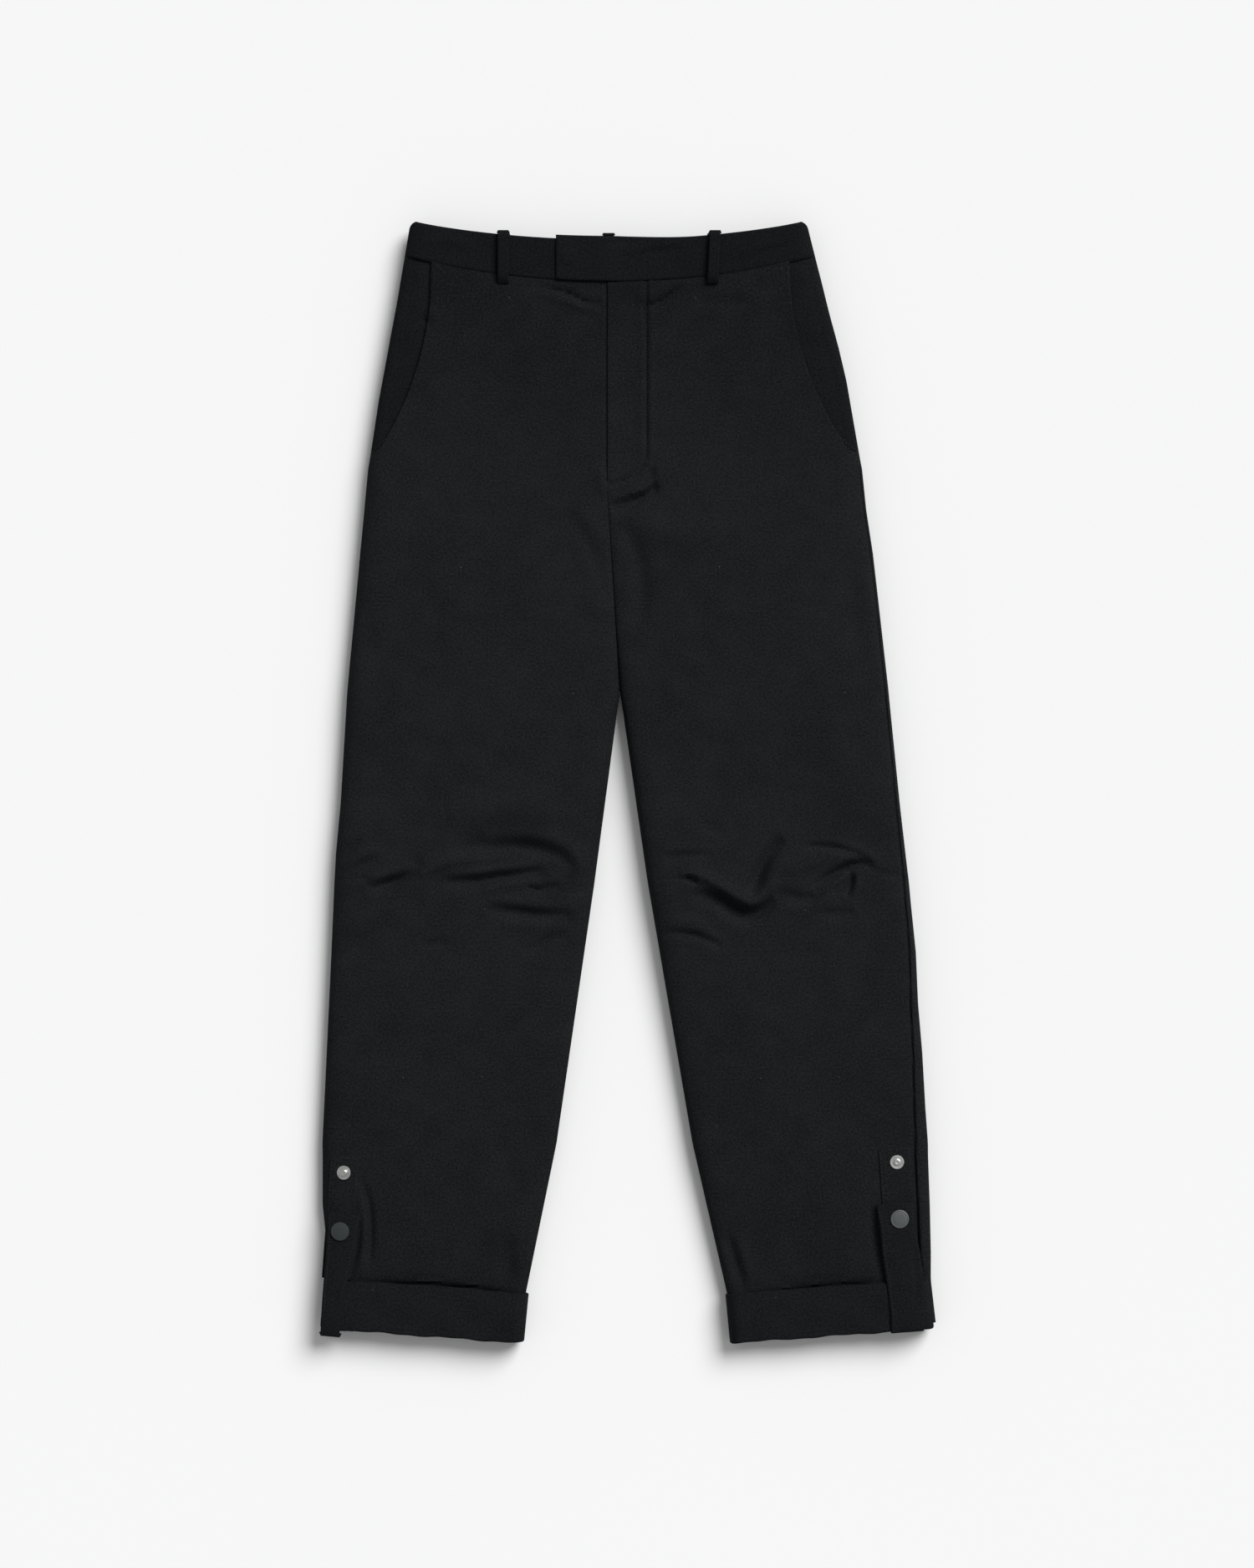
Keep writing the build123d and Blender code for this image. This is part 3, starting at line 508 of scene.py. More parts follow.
# long slopes that face away from the light, as drop and half width in mm, then the route, high side on its left
shades = {
    "right": [
        (4.4, 6.5, [(-238, -97), (-222, -91), (-205, -86), (-193, -80)]),
        (4.0, 10, [(-135, -60), (-95, -57), (-75, -60), (-60, -66), (-50, -77), (-43, -90)]),
        (3.4, 6, [(-170, -90), (-140, -88), (-118, -85), (-95, -82), (-74, -79)]),
        (1.8, 3, [(-94, -95), (-82, -98), (-68, -96.5)]),
        (2.7, 7, [(-130, -114), (-104, -117), (-78, -120), (-48, -120)]),
        (1.2, 5, [(-97, -155), (-86, -151), (-72, -143), (-54, -138)]),
        (3.8, 24, [(-165, -46), (-110, -42), (-66, -46)]),
        (1.6, 3.0, [(-100, 458), (-74, 456), (-56, 452), (-40, 444), (-20, 440)]),
        (0.9, 3, [(-74, 458), (-50, 457), (-22, 457)]),
        (3.0, 3.4, [(-262, -459.5), (-200, -462), (-160, -464.5), (-120, -468.5), (-94, -474)]),
        (1.1, 5, [(-190, -149), (-178, -147), (-164, -146)]),
    ],
    "left": [
        (3.2, 6.5, [(58, -101), (75, -103), (88, -108), (98, -115), (108, -119), (120, -117), (133, -109),
                    (141, -101)]),
        (2.0, 7, [(146, -52), (134, -66), (126, -82), (117, -104)]),
        (2.7, 4.8, [(170, -99), (182, -88), (194, -81), (206, -75.5), (218, -73.5), (230, -78)]),
        (1.6, 4, [(160, -57), (188, -59), (205, -63), (226, -70)]),
        (1.9, 4, [(208, -81), (209, -92), (204, -107)]),
        (1.9, 3.2, [(49, -88.5), (58, -88), (67, -93.5)]),
        (1.5, 4, [(32, -138), (50, -138), (66, -141), (90, -151)]),
        (1.2, 7, [(138, -99), (150, -103), (165, -106), (180, -100)]),
        (1.1, 5, [(32, -68), (55, -66), (80, -66)]),
        (1.1, 6, [(172, -118), (192, -119), (212, -118)]),
        (1.6, 3.0, [(14, 439), (30, 444), (42, 453), (52, 460)]),
        (1.2, 4, [(-12, 268), (4, 270), (16, 280), (26, 296)]),
        (1.6, 4, [(-16, 256), (0, 262), (16, 266), (30, 276)]),
        (3.0, 3.4, [(100, -474), (150, -469), (190, -464), (240, -459)]),
    ],
}


def shadeHeight(x, y, slopes):
    total = np.zeros(x.shape)
    for drop, width, route in slopes:
        path = curveThrough(route, 22) * mm
        reach = 2.6 * width * mm
        low, high = path.min(0) - reach, path.max(0) + reach
        near = (x > low[0]) & (x < high[0]) & (y > low[1]) & (y < high[1])
        if near.any():
            gap, hand, along = nearest(x[near], y[near], path)
            t = hand * gap / (width * mm)
            total[near] += drop / 0.43 * mm * t * np.exp(-t * t) * np.sin(np.pi * np.clip(along, 0, 1)) ** 0.6
    return total


def nearest(x, y, path):
    # distance to a path, the side of it and the share gone along it
    best = np.full(x.shape, 1e9)
    hand = np.zeros(x.shape)
    along = np.zeros(x.shape)
    for i in range(len(path) - 1):
        a, step = path[i], path[i + 1] - path[i]
        t = np.clip(((x - a[0]) * step[0] + (y - a[1]) * step[1]) / (step @ step), 0, 1)
        dx, dy = x - a[0] - t * step[0], y - a[1] - t * step[1]
        gap = dx * dx + dy * dy
        closer = gap < best
        best = np.where(closer, gap, best)
        hand = np.where(closer, np.sign(step[0] * dy - step[1] * dx), hand)
        along = np.where(closer, (i + t) / (len(path) - 1), along)
    return np.sqrt(best), hand, along


def foldHeight(x, y, folds):
    total = np.zeros(x.shape)
    for height, width, route, *leans in folds:
        lean = leans[0] if leans else 0
        path = curveThrough(route, 22) * mm
        reach = 3.2 * width * mm
        low, high = path.min(0) - reach, path.max(0) + reach
        near = (x > low[0]) & (x < high[0]) & (y > low[1]) & (y < high[1])
        if not near.any():
            continue
        gap, hand, along = nearest(x[near], y[near], path)
        taper = np.sin(np.pi * np.clip(along, 0, 1)) ** 0.6
        total[near] += height * mm * taper * np.exp(-(gap / (width * mm * (1 + lean * hand))) ** 2)
    return total


drift = np.random.default_rng(11)
waves = [(drift.uniform(0, 2 * np.pi), drift.uniform(0, 2 * np.pi), length, height) for length, height in
         ((0.31, 0.55), (0.21, 0.5), (0.14, 0.42), (0.09, 0.34), (0.062, 0.24), (0.043, 0.16), (0.03, 0.1))]


def undulation(x, y):
    total = np.zeros(x.shape)
    for heading, phase, length, height in waves:
        k = 2 * np.pi / length
        total += height * mm * np.sin(k * (x * np.cos(heading) + y * np.sin(heading)) + phase
                                      + 0.9 * np.sin(0.37 * k * (y - x) + heading))
    return total


def rollOff(distance, reach, power=2.5):
    # 0 at a folded side, 1 once the cloth lies flat
    t = np.clip(distance / reach, 0, 1)
    return (1 - (1 - t) ** power) ** (1 / power)


lay = {
    "frontReach": 0.024, "backReach": 0.015, "forkY": 0.0836, "seamStep": 0.0018, "seamSoft": 0.0012,
    "seamGroove": 0.0022, "seamTop": {"outer": 0.29, "inner": 0.07}, "dartDepth": 0.0009, "dartWidth": 0.0019,
    "calmReach": 0.012, "strayUp": 0.35,
}


def centreFactor(side, x, y):
    # the two legs part below the fork; above it a valley runs up to the fly
    gap = side * (x - innerX(side, y))
    fork = lay["forkY"]
    heights = [fork, 0.120, 0.170, 0.215, flyBottom - 0.012, flyBottom]
    depth = np.interp(y, heights, [1, 0.62, 0.36, 0.2, 0.06, 0])
    reach = np.interp(y, [fork - 0.06, fork, 0.150, 0.215, flyBottom], [0.022, 0.022, 0.018, 0.012, 0.005])
    return 1 - depth * (1 - rollOff(gap, reach))


def sideHeight(side, y):
    # height of the folded side, half way between front and back
    return (topZ(side, y) + lowZ(side, y)) / 2


def name(side):
    return "right" if side < 0 else "left"


def dartDepth(side, x, y):
    total = np.zeros(x.shape)
    for route in darts[name(side)]:
        near = np.abs(y - route[0][1] * mm) < lay["calmReach"]
        if near.any():
            gap = nearest(x[near], y[near], np.array(route) * mm)[0]
            total[near] += lay["dartDepth"] * np.exp(-(gap / lay["dartWidth"]) ** 2)
    return total


def seamDepth(side, where, gap, y):
    # the cloth steps down past a long seam, or up where the front laps the back, with a groove along the seam
    line = np.array(seamLines[name(side)][where]) * mm
    offset = np.interp(y, line[:, 0], line[:, 1])
    step = lay["seamStep"] * np.clip((offset - gap) / lay["seamSoft"], 0, 1)
    lapped = side > 0 and where == "outer"
    groove = lay["seamGroove"] * np.exp(-((gap - offset) / lay["seamSoft"]) ** 2)
    return np.where(y < lay["seamTop"][where], groove + (-step if lapped else step), 0)


def frontHeight(side, x, y, folded=True):
    edge = sideHeight(side, y)
    outerGap = side * (outerX(side, y) - x)
    innerGap = side * (x - innerX(side, y))
    factor = rollOff(outerGap, lay["frontReach"]) * centreFactor(side, x, y)
    z = edge + (topZ(side, y) - edge) * factor
    if folded:
        folds = kneeFolds[name(side)] + seatFolds[name(side)] + hemFolds[name(side)]
        calm = np.clip((seamY(x) - y) / lay["calmReach"], 0.15, 1)  # held flat by the waistband
        creases = foldHeight(x, y, folds) + shadeHeight(x, y, shades[name(side)])
        z = z + factor ** 2 * calm * (creases + undulation(x, y)) - dartDepth(side, x, y)
    return z - factor * (seamDepth(side, "outer", outerGap, y) + seamDepth(side, "inner", innerGap, y))


def backHeight(side, x, y):
    edge = sideHeight(side, y)
    outerGap = side * (outerX(side, y) - x)
    factor = rollOff(outerGap, lay["backReach"]) * centreFactor(side, x, y)
    z = edge - (edge - lowZ(side, y)) * factor
    return z + factor ** 2 * np.abs(undulation(x, y)) * lay["strayUp"]


# making a sheet: a grid is added, laid in place, and given its thickness
def onlyThis(piece):
    bpy.ops.object.select_all(action="DESELECT")
    piece.select_set(True)
    bpy.context.view_layer.objects.active = piece


def makeSheet(pieceName, columns, rows, place, thickness, slotName, paint=None):
    bpy.ops.object.select_all(action="DESELECT")
    bpy.ops.mesh.primitive_grid_add(x_subdivisions=columns, y_subdivisions=rows, size=1, location=(0, 0, 0))
    piece = bpy.context.object
    piece.name = piece.data.name = pieceName
    mesh = piece.data
    flat = np.zeros(len(mesh.vertices) * 3, np.float32)
    mesh.vertices.foreach_get("co", flat)
    flat = flat.reshape(-1, 3).astype(float)
    order = np.lexsort((flat[:, 0], np.round(flat[:, 1], 5)))
    wide = len(np.unique(np.round(flat[:, 0], 5)))
    u, v = flat[:, 0] + 0.5, flat[:, 1] + 0.5
    points = np.stack(place(np.clip(u, 0, 1), np.clip(v, 0, 1)), 1)
    mesh.vertices.foreach_set("co", points.astype(np.float32).ravel())
    laid = points[order].reshape(-1, wide, 3)
    across = np.zeros(laid.shape[:2])
    across[:, 1:] = np.cumsum(np.linalg.norm(np.diff(laid, axis=1), axis=2), 1)
    width = across[:, -1].max()
    across -= across[:, wide // 2][:, None]
    along = np.zeros(laid.shape[:2])
    along[1:] = np.cumsum(np.linalg.norm(np.diff(laid[:, wide // 2], axis=0), axis=1))[:, None]
    plan = np.zeros((len(flat), 2))
    plan[order] = np.stack([across.ravel(), along.ravel()], 1)
    corners = np.zeros(len(mesh.loops), np.int32)
    mesh.loops.foreach_get("vertex_index", corners)
    layer = mesh.uv_layers[0] if mesh.uv_layers else mesh.uv_layers.new()
    layer.name = planMap
    layer.uv.foreach_set("vector", plan[corners].astype(np.float32).ravel())
    diagonals = laid[1:, 1:] - laid[:-1, :-1], laid[1:, :-1] - laid[:-1, 1:]
    area = np.linalg.norm(np.cross(*diagonals), axis=2).sum() / 2
    mesh.update()
    mesh.materials.append(paint or paints[slotName])
    if thickness:
        onlyThis(piece)
        solid = piece.modifiers.new("thickness", "SOLIDIFY")
        solid.thickness = thickness
        solid.offset = -1
        bpy.ops.object.modifier_apply(modifier=solid.name)
    onlyThis(piece)
    bpy.ops.object.shade_smooth_by_angle(angle=math.radians(50))
    piece["flatWidth"], piece["flatLength"], piece["flatArea"] = width, along.max(), area
    return piece


def softEdge(gap, reach=0.0016, drop=0.0009):
    # how far a folded or cut edge turns down
    t = 1 - np.clip(gap / reach, 0, 1)
    return drop * (1 - np.sqrt(1 - np.minimum(t, 0.999) ** 2))


def foldAtKnee(piece, side):
    middle = (outerX(side, kneeY) + innerX(side, kneeY)) / 2
    f"{name(side)}_shin"
    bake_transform(piece)
    return piece


# legs
legCut = {
    "columns": 156, "rows": 310, "backColumns": 80, "backRows": 170, "cloth": 0.0011, "edgeColumns": 14,
    "edgeShare": 0.052, "jSpot": 27, "jX": 0.0178, "lapUnder": 0.003, "tuck": 0.003, "topAt": 0.440,
    "rowSpacing": [(-499, 3.0), (-440, 3.0), (-400, 3.6), (-200, 3.4), (-160, 2.0), (-50, 2.0), (0, 3.4),
                   (200, 3.4), (250, 2.6), (300, 2.8), (440, 2.6), (461, 2.4)],
}


def rowHeights(v, top):
    # rows lie closer together at the knee, the fly and the hem
    spots = np.array(legCut["rowSpacing"])
    ys = np.linspace(legEndY, top, 400)
    spacing = np.interp(ys, spots[:, 0] * mm, spots[:, 1])
    done = np.concatenate([[0], np.cumsum(1 / spacing[:-1])])
    return np.interp(v * done[-1], done, ys)


def evenly(u):
    # columns lie closer together at both edges
    edge = legCut["edgeColumns"] / legCut["columns"]
    share = legCut["edgeShare"]
    inside = share + (u - edge) * (1 - 2 * share) / (1 - 2 * edge)
    start = share * (1 - np.cos(np.clip(u / edge, 0, 1) * np.pi / 2))
    finish = 1 - share * (1 - np.cos(np.clip((1 - u) / edge, 0, 1) * np.pi / 2))
    return np.where(u < edge, start, np.where(u > 1 - edge, finish, inside))


def sewnTop(x, y):
    # the rows near the top lean to follow the waistband's seam
    share = np.clip((y - legCut["topAt"]) / (seamMiddleY - legCut["topAt"]), 0, 1)
    return np.where(share > 0, legCut["topAt"] + (seamY(x) + legCut["tuck"] - legCut["topAt"]) * share, y)


def underBand(x, y):
    return np.clip(1 - (seamY(x) - y) / 0.003, 0, 1)


def columnOnJ(u, inner, outer):
    # one column of the left front runs down the fly's stitches
    spot = legCut["jSpot"] / legCut["columns"]
    atSpot = evenly(np.array(spot))
    jShare = (legCut["jX"] - inner) / (outer - inner)
    before = evenly(u) / atSpot * jShare
    after = jShare + (evenly(u) - atSpot) / (1 - atSpot) * (1 - jShare)
    return np.where(u < spot, before, after)


def frontLegPlace(side):
    def place(u, v):
        y = rowHeights(v, seamMiddleY)
        inner = innerX(side, y)
        if side < 0:
            inner = np.where(y > flyBottom, inner + legCut["lapUnder"], inner)
        outer = mouthX(side, y)
        t = evenly(u) if side > 0 else evenly(1 - u)
        if side > 0:
            mixing = np.clip((y - 0.19) / 0.08, 0, 1)
            t = t + (columnOnJ(u, inner, outer) - t) * mixing * mixing * (3 - 2 * mixing)
        x = inner + (outer - inner) * t
        y = sewnTop(x, y)
        z = frontHeight(side, x, y) - 0.0012 * underBand(x, y)
        onLap = np.clip((y - flyBottom + 0.004) / 0.008, 0, 1)
        if side > 0:
            gap = x - innerX(side, y)
            z += onLap * 0.0009 * np.exp(-(gap / 0.012) ** 2) - onLap * softEdge(gap, 0.0012, 0.0006)
            z -= jGroove(x, y)
        else:
            z -= onLap * 0.0011 * np.clip(1 - (innerX(side, y) - x) / 0.004, 0, 1)
        mouthGap = side * (mouthX(side, y) - x)
        onMouth = np.clip((y - mouthEndY - 0.013) / 0.01, 0, 1)
        z += onMouth * (0.0005 * np.exp(-(mouthGap / 0.01) ** 2) - softEdge(mouthGap, 0.0012, 0.0007))
        return x, y, z
    return place


def backLegPlace(side):
    def place(u, v):
        y = rowHeights(v, seamMiddleY)
        inner, outer = innerX(side, y), outerX(side, y)
        t = evenly(1 - u) if side > 0 else evenly(u)
        y = sewnTop(inner + (outer - inner) * t, y)
        x = inner + (outerX(side, y) - inner) * t
        return x, y, backHeight(side, x, y) + 0.0008 * underBand(x, y)
    return place


fly = {"topY": 0.4600, "turnY": 0.3038, "endX": -0.0165, "endY": 0.2745}


def jRoute():
    turn = np.linspace(0, np.pi / 2, 9)
    x = fly["endX"] + (legCut["jX"] - fly["endX"]) * np.cos(turn)
    y = fly["turnY"] - (fly["turnY"] - fly["endY"]) * np.sin(turn)
    return np.vstack([[legCut["jX"], fly["topY"]], np.stack([x, y], 1)])


def jGroove(x, y):
    near = (x < 0.03) & (y > 0.26)
    groove = np.zeros(x.shape)
    if near.any():
        gap = nearest(x[near], y[near], jRoute())[0]
        groove[near] = 0.0017 * np.exp(-(gap / 0.0016) ** 2) - 0.0005 * np.exp(-((gap - 0.0045) / 0.003) ** 2)
    return groove


def makeLegs():
    for legName, side in sides.items():
        front = makeSheet(f"leg_front_{legName}", legCut["columns"], legCut["rows"], frontLegPlace(side),
                          legCut["cloth"], "shell_cloth")
        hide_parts(f"front_thigh_{legName}", f"front_shin_{legName}")
        foldAtKnee(front, side)
        back = makeSheet(f"leg_back_{legName}", legCut["backColumns"], legCut["backRows"], backLegPlace(side),
                         legCut["cloth"], "shell_cloth")
        panels = ("back_yoke", "back_seat", "back_thigh", "back_shin")
        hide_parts(*[f"{panel}_{legName}" for panel in panels])
        foldAtKnee(back, side)
    print("legs laid")


# slash pockets: the facing shows outside each mouth, and is tucked in behind the front
pocket = {
    "columns": 60, "rows": 120, "cloth": 0.0009, "tucked": 0.021, "step": 0.0026, "slope": 0.16, "past": 0.010,
    "below": 0.004, "bendFrom": 0.42, "tuck": 0.003, "bagCloth": 0.0006, "bagDrop": 0.0052, "bagSag": 0.0012,
}


def facingPlace(side):
    low, high = mouthEndY - pocket["below"], seamMiddleY + pocket["past"]

    def place(u, v):
        y = low + (high - low) * v
        mouth, outer = mouthX(side, y), outerX(side, y)
        t = u if side > 0 else 1 - u
        start = mouth - side * pocket["tucked"]
        x = start + (outer - start) * (1 - (1 - t) ** 1.6)
        bend = np.clip((y - pocket["bendFrom"]) / (high - pocket["bendFrom"]), 0, 1)
        y = y + (seamY(x) + pocket["tuck"] - high) * bend
        share = (x - mouth) / (outer - mouth + side * 0.00001)
        x = np.where(share > 0, mouthX(side, y) + (outerX(side, y) - mouthX(side, y)) * share, x)
        inside = np.clip(side * (mouthX(side, y) - x), 0, None)
        inFromSide = np.clip(side * (outer - x) / 0.012, 0, 1)
        return x, y, frontHeight(side, x, y) - inFromSide * pocket["step"] - pocket["slope"] * inside
    return place


def bagPlace(side):
    def place(u, v):
        boxLow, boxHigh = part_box(f"pocket_bag_{name(side)}")
        around = np.clip(np.minimum(np.minimum(u, 1 - u) * 5, np.minimum(v, 1 - v) * 6), 0, 1)
        y = boxLow.y + (boxHigh.y - boxLow.y) * v + 0.010 * (1 - v) * (2 * u - 1) ** 2
        first = boxHigh.x if side < 0 else boxLow.x
        last = outerX(side, y) - side * (0.030 - 0.016 * v)
        x = first + (last - first) * (u if side > 0 else 1 - u)
        z = boxHigh.z - pocket["bagDrop"] - pocket["bagSag"] * np.sqrt(1 - (1 - around) ** 2)
        return x, y, z
    return place


def makePockets():
    for pocketName, side in sides.items():
        facing = makeSheet(f"pocket_facing_cloth_{pocketName}", pocket["columns"], pocket["rows"],
                           facingPlace(side), pocket["cloth"], "facing_cloth")
        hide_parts(f"pocket_facing_{pocketName}")
        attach(facing, "seat")
        bag = makeSheet(f"pocket_bag_cloth_{pocketName}", 40, 60, bagPlace(side), pocket["bagCloth"],
                        "lining_cloth")
        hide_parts(f"pocket_bag_{pocketName}")
        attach(bag, "seat")
    print("pockets sewn")


# waistband
band = {"columns": 110, "rows": 30, "cloth": 0.0023, "proud": 0.0003, "corner": 0.0075, "lift": 0.0028,
        "endX": -0.0655, "standUp": 0.003, "lining": 0.0009, "liningShort": 0.006, "bump": 0.0010,
        "hinge": 0.0276}
waistSnap = (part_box("waist_snap_stud")[0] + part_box("waist_snap_stud")[1]) / 2
bandFolds = [
    (0.8, 4, [(-4, 484), (10, 490), (28, 494), (54, 495)]),
    (-0.8, 3, [(0, 480), (14, 485), (32, 489), (56, 490)]),
    (1.0, 5, [(104, 484), (122, 492), (150, 500)]),
    (-0.8, 4, [(112, 482), (130, 489), (156, 495)]),
    (0.8, 4, [(-190, 496), (-170, 498), (-140, 494)]),
    (-0.7, 3, [(-20, 494), (-6, 497), (8, 496)]),
]


def evenEdges(v):
    return 0.5 * v + 0.25 * (1 - np.cos(np.pi * v))


def bandPlace(side, startX, endAtSide, bottomOf, topOf, raised):
    def place(u, v):
        t, w = evenEdges(u), evenEdges(v)
        t = t if side > 0 else 1 - t
        rough = startX + (outerX(side, 0.495) - startX) * t
        y = bottomOf(rough) + (topOf(rough) - bottomOf(rough)) * w
        turned = np.clip((y - (waistSideY - band["corner"])) / band["corner"], 0, 0.98)
        outer = outerX(side, y) - side * band["corner"] * (1 - np.sqrt(1 - turned ** 2)) * endAtSide
        x = startX + (outer - startX) * t
        z = raised(x, y)
        return x, y, z
    return place


def bandHeight(side, x, y):
    z = frontHeight(side, x, y, False) + band["proud"] + foldHeight(x, y, bandFolds)
    z -= softEdge(waistY(x) - y + np.where(side > 0, standUp(x), 0), 0.0016, 0.0011)
    return z - softEdge(y - seamY(x), 0.0012, 0.0008)


def standUp(x):
    share = np.clip((0.066 - x) / 0.084, 0, 1)
    return band["standUp"] * share * share * (3 - 2 * share)


def bandLeftHeight(x, y):
    share = np.clip((0.003 - x) / 0.024, 0, 1)
    z = bandHeight(1, x, y) + band["lift"] * share * share * (3 - 2 * share)
    bump = np.hypot(x - waistSnap.x, y - waistSnap.y)
    z += band["bump"] * (1 - 1 / (1 + np.exp(-(bump - 0.007) / 0.0009)))
    return z - softEdge(x - band["endX"], 0.0018, 0.0012)


def makeBand():
    right = makeSheet("band_front_right", band["columns"], band["rows"], bandPlace(
        -1, flyX + 0.004, 1, seamY, waistY, lambda x, y: bandHeight(-1, x, y)), band["cloth"], "band_cloth")
    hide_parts("waistband_front_right")
    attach(right, "seat")
    leftPlace = bandPlace(1, band["endX"], 1, seamY, lambda x: waistY(x) + standUp(x), bandLeftHeight)
    left = makeSheet("band_front_left", band["columns"] + 30, band["rows"], leftPlace, band["cloth"], "band_cloth")
    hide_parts("waistband_front_left", "waist_extension")
    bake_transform(left)

    def backPlace(inset, shorter, level):
        def place(u, v):
            t, w = evenEdges(1 - u), evenEdges(v)
            low, high = outerX(-1, 0.495) + inset, outerX(1, 0.495) - inset
            rough = low + (high - low) * t
            y = seamY(rough) + (waistY(rough) - shorter - seamY(rough)) * w
            turned = np.clip((y - (waistSideY - band["corner"])) / band["corner"], 0, 0.98)
            corner = inset + band["corner"] * (1 - np.sqrt(1 - turned ** 2))
            low, high = outerX(-1, y) + corner, outerX(1, y) - corner
            x = low + (high - low) * t
            factor = rollOff(x - low, lay["backReach"]) * rollOff(high - x, lay["backReach"])
            edge = sideHeight(1, y)
            z = edge - (edge - lowZ(1, y) - level + band["proud"]) * factor
            if not level:
                z += softEdge(waistY(x) - y, 0.0016, 0.0011) + softEdge(y - seamY(x), 0.0012, 0.0008)
            return x, y, z
        return place

    back = makeSheet("band_back", 150, band["rows"], backPlace(0, 0, 0), band["cloth"], "band_cloth")
    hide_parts("waistband_back")
    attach(back, "seat")
    lining = makeSheet("band_lining_back", 90, 16, backPlace(0.004, band["liningShort"], 0.0030),
                       band["lining"], "lining_cloth")
    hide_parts("waistband_lining_back")
    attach(lining, "seat")
    for liningName, side in sides.items():
        def height(x, y, side=side):
            return frontHeight(side, x, y, False) - band["cloth"] - 0.0006

        front = makeSheet(f"band_lining_front_{liningName}", 60, 16, bandPlace(
            side, flyX + side * 0.002, 0, seamY, lambda x: waistY(x) - band["liningShort"],
            height), band["lining"], "lining_cloth")
        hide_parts(f"waistband_lining_front_{liningName}")
        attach(front, "seat")
    print("waistband sewn")


# straps: a ribbon of cloth along a path seen from the side
ribbonEdge = (0.0012, 0.0007)


def ribbonPlace(path, across, lie):
    # path gives distance and height, across the two edges there, lie turns (across, distance) into x and y
    line = curveThrough(path, 240)
    gone = np.concatenate([[0], np.cumsum(np.linalg.norm(np.diff(line, axis=0), axis=1))])

    def place(u, v):
        at = evenEdges(v) * gone[-1]
        distance, z = np.interp(at, gone, line[:, 0]), np.interp(at, gone, line[:, 1])
        first, last = across(distance)
        a = first + (last - first) * evenEdges(u)
        x, y = lie(a, distance)
        return x, y, z - softEdge(np.minimum(a - first, last - a), *ribbonEdge)
    return place


loop = {"columns": 14, "rows": 80, "cloth": 0.0013, "half": 0.005, "lean": {"front_left": 0.05}}


def makeLoops():
    for loopName in ("front_right", "front_left", "back_right", "back_middle", "back_left"):
        boxLow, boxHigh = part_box(f"belt_loop_{loopName}")
        up = 1 if "front" in loopName else -1
        surface = boxLow.z if up > 0 else boxHigh.z
        tip = boxHigh.z if up > 0 else boxLow.z
        x0, y0, y1 = (boxLow.x + boxHigh.x) / 2, boxLow.y, boxHigh.y
        rise = tip - surface
        path = [(y0 + 0.0040, surface + up * 0.0003), (y0 + 0.0004, surface + up * 0.0012),
                (y0 + 0.0012, surface + 0.50 * rise), (y0 + 0.0070, surface + 0.92 * rise),
                (y0 + 0.0200, tip), (y1 - 0.0170, tip - up * 0.0002), (y1 - 0.0060, surface + 0.90 * rise),
                (y1 - 0.0008, surface + 0.62 * rise), (y1 - 0.0002, surface + up * 0.0002),
                (y1 - 0.0020, surface - up * 0.0016)]
        lean = loop["lean"].get(loopName, 0.0)

        def lie(a, distance, x0=x0, y0=y0, lean=lean, up=up):
            return x0 + up * a + lean * (distance - y0 - 0.025), distance

        base = ribbonPlace(path, lambda d: (-loop["half"], loop["half"]), lie)

        def place(u, v, base=base, up=up):
            x, y, z = base(u, v)
            fromEdge = loop["half"] * (1 - np.abs(2 * evenEdges(u) - 1))
            return x, y, z if up > 0 else z + 2 * softEdge(fromEdge, *ribbonEdge)

        strap = makeSheet(f"loop_{loopName}", loop["columns"], loop["rows"], place, loop["cloth"], "band_cloth")
        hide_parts(f"belt_loop_{loopName}")
        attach(strap, "seat")
    print("belt loops sewn")


# turned-up cuffs
hem = {"turn": 4.2, "half": 0.0945, "height": 0.043, "lean": 0.096, "cloth": 0.0024, "columns": 170, "rows": 44,
       "reach": 0.011, "rise": {"right": 0.0020, "left": 0.0012}}


def hemFrame(side):
    turn = math.radians(side * hem["turn"])
    middleX = side * (highest("cuff_left").x - hem["half"] * math.cos(turn))
    y = lowest("cuff_left").y + hem["half"] * abs(math.sin(turn))
    along = np.array([math.cos(turn), math.sin(turn)])
    return np.array([middleX, y]), along, np.array([-along[1], along[0]])


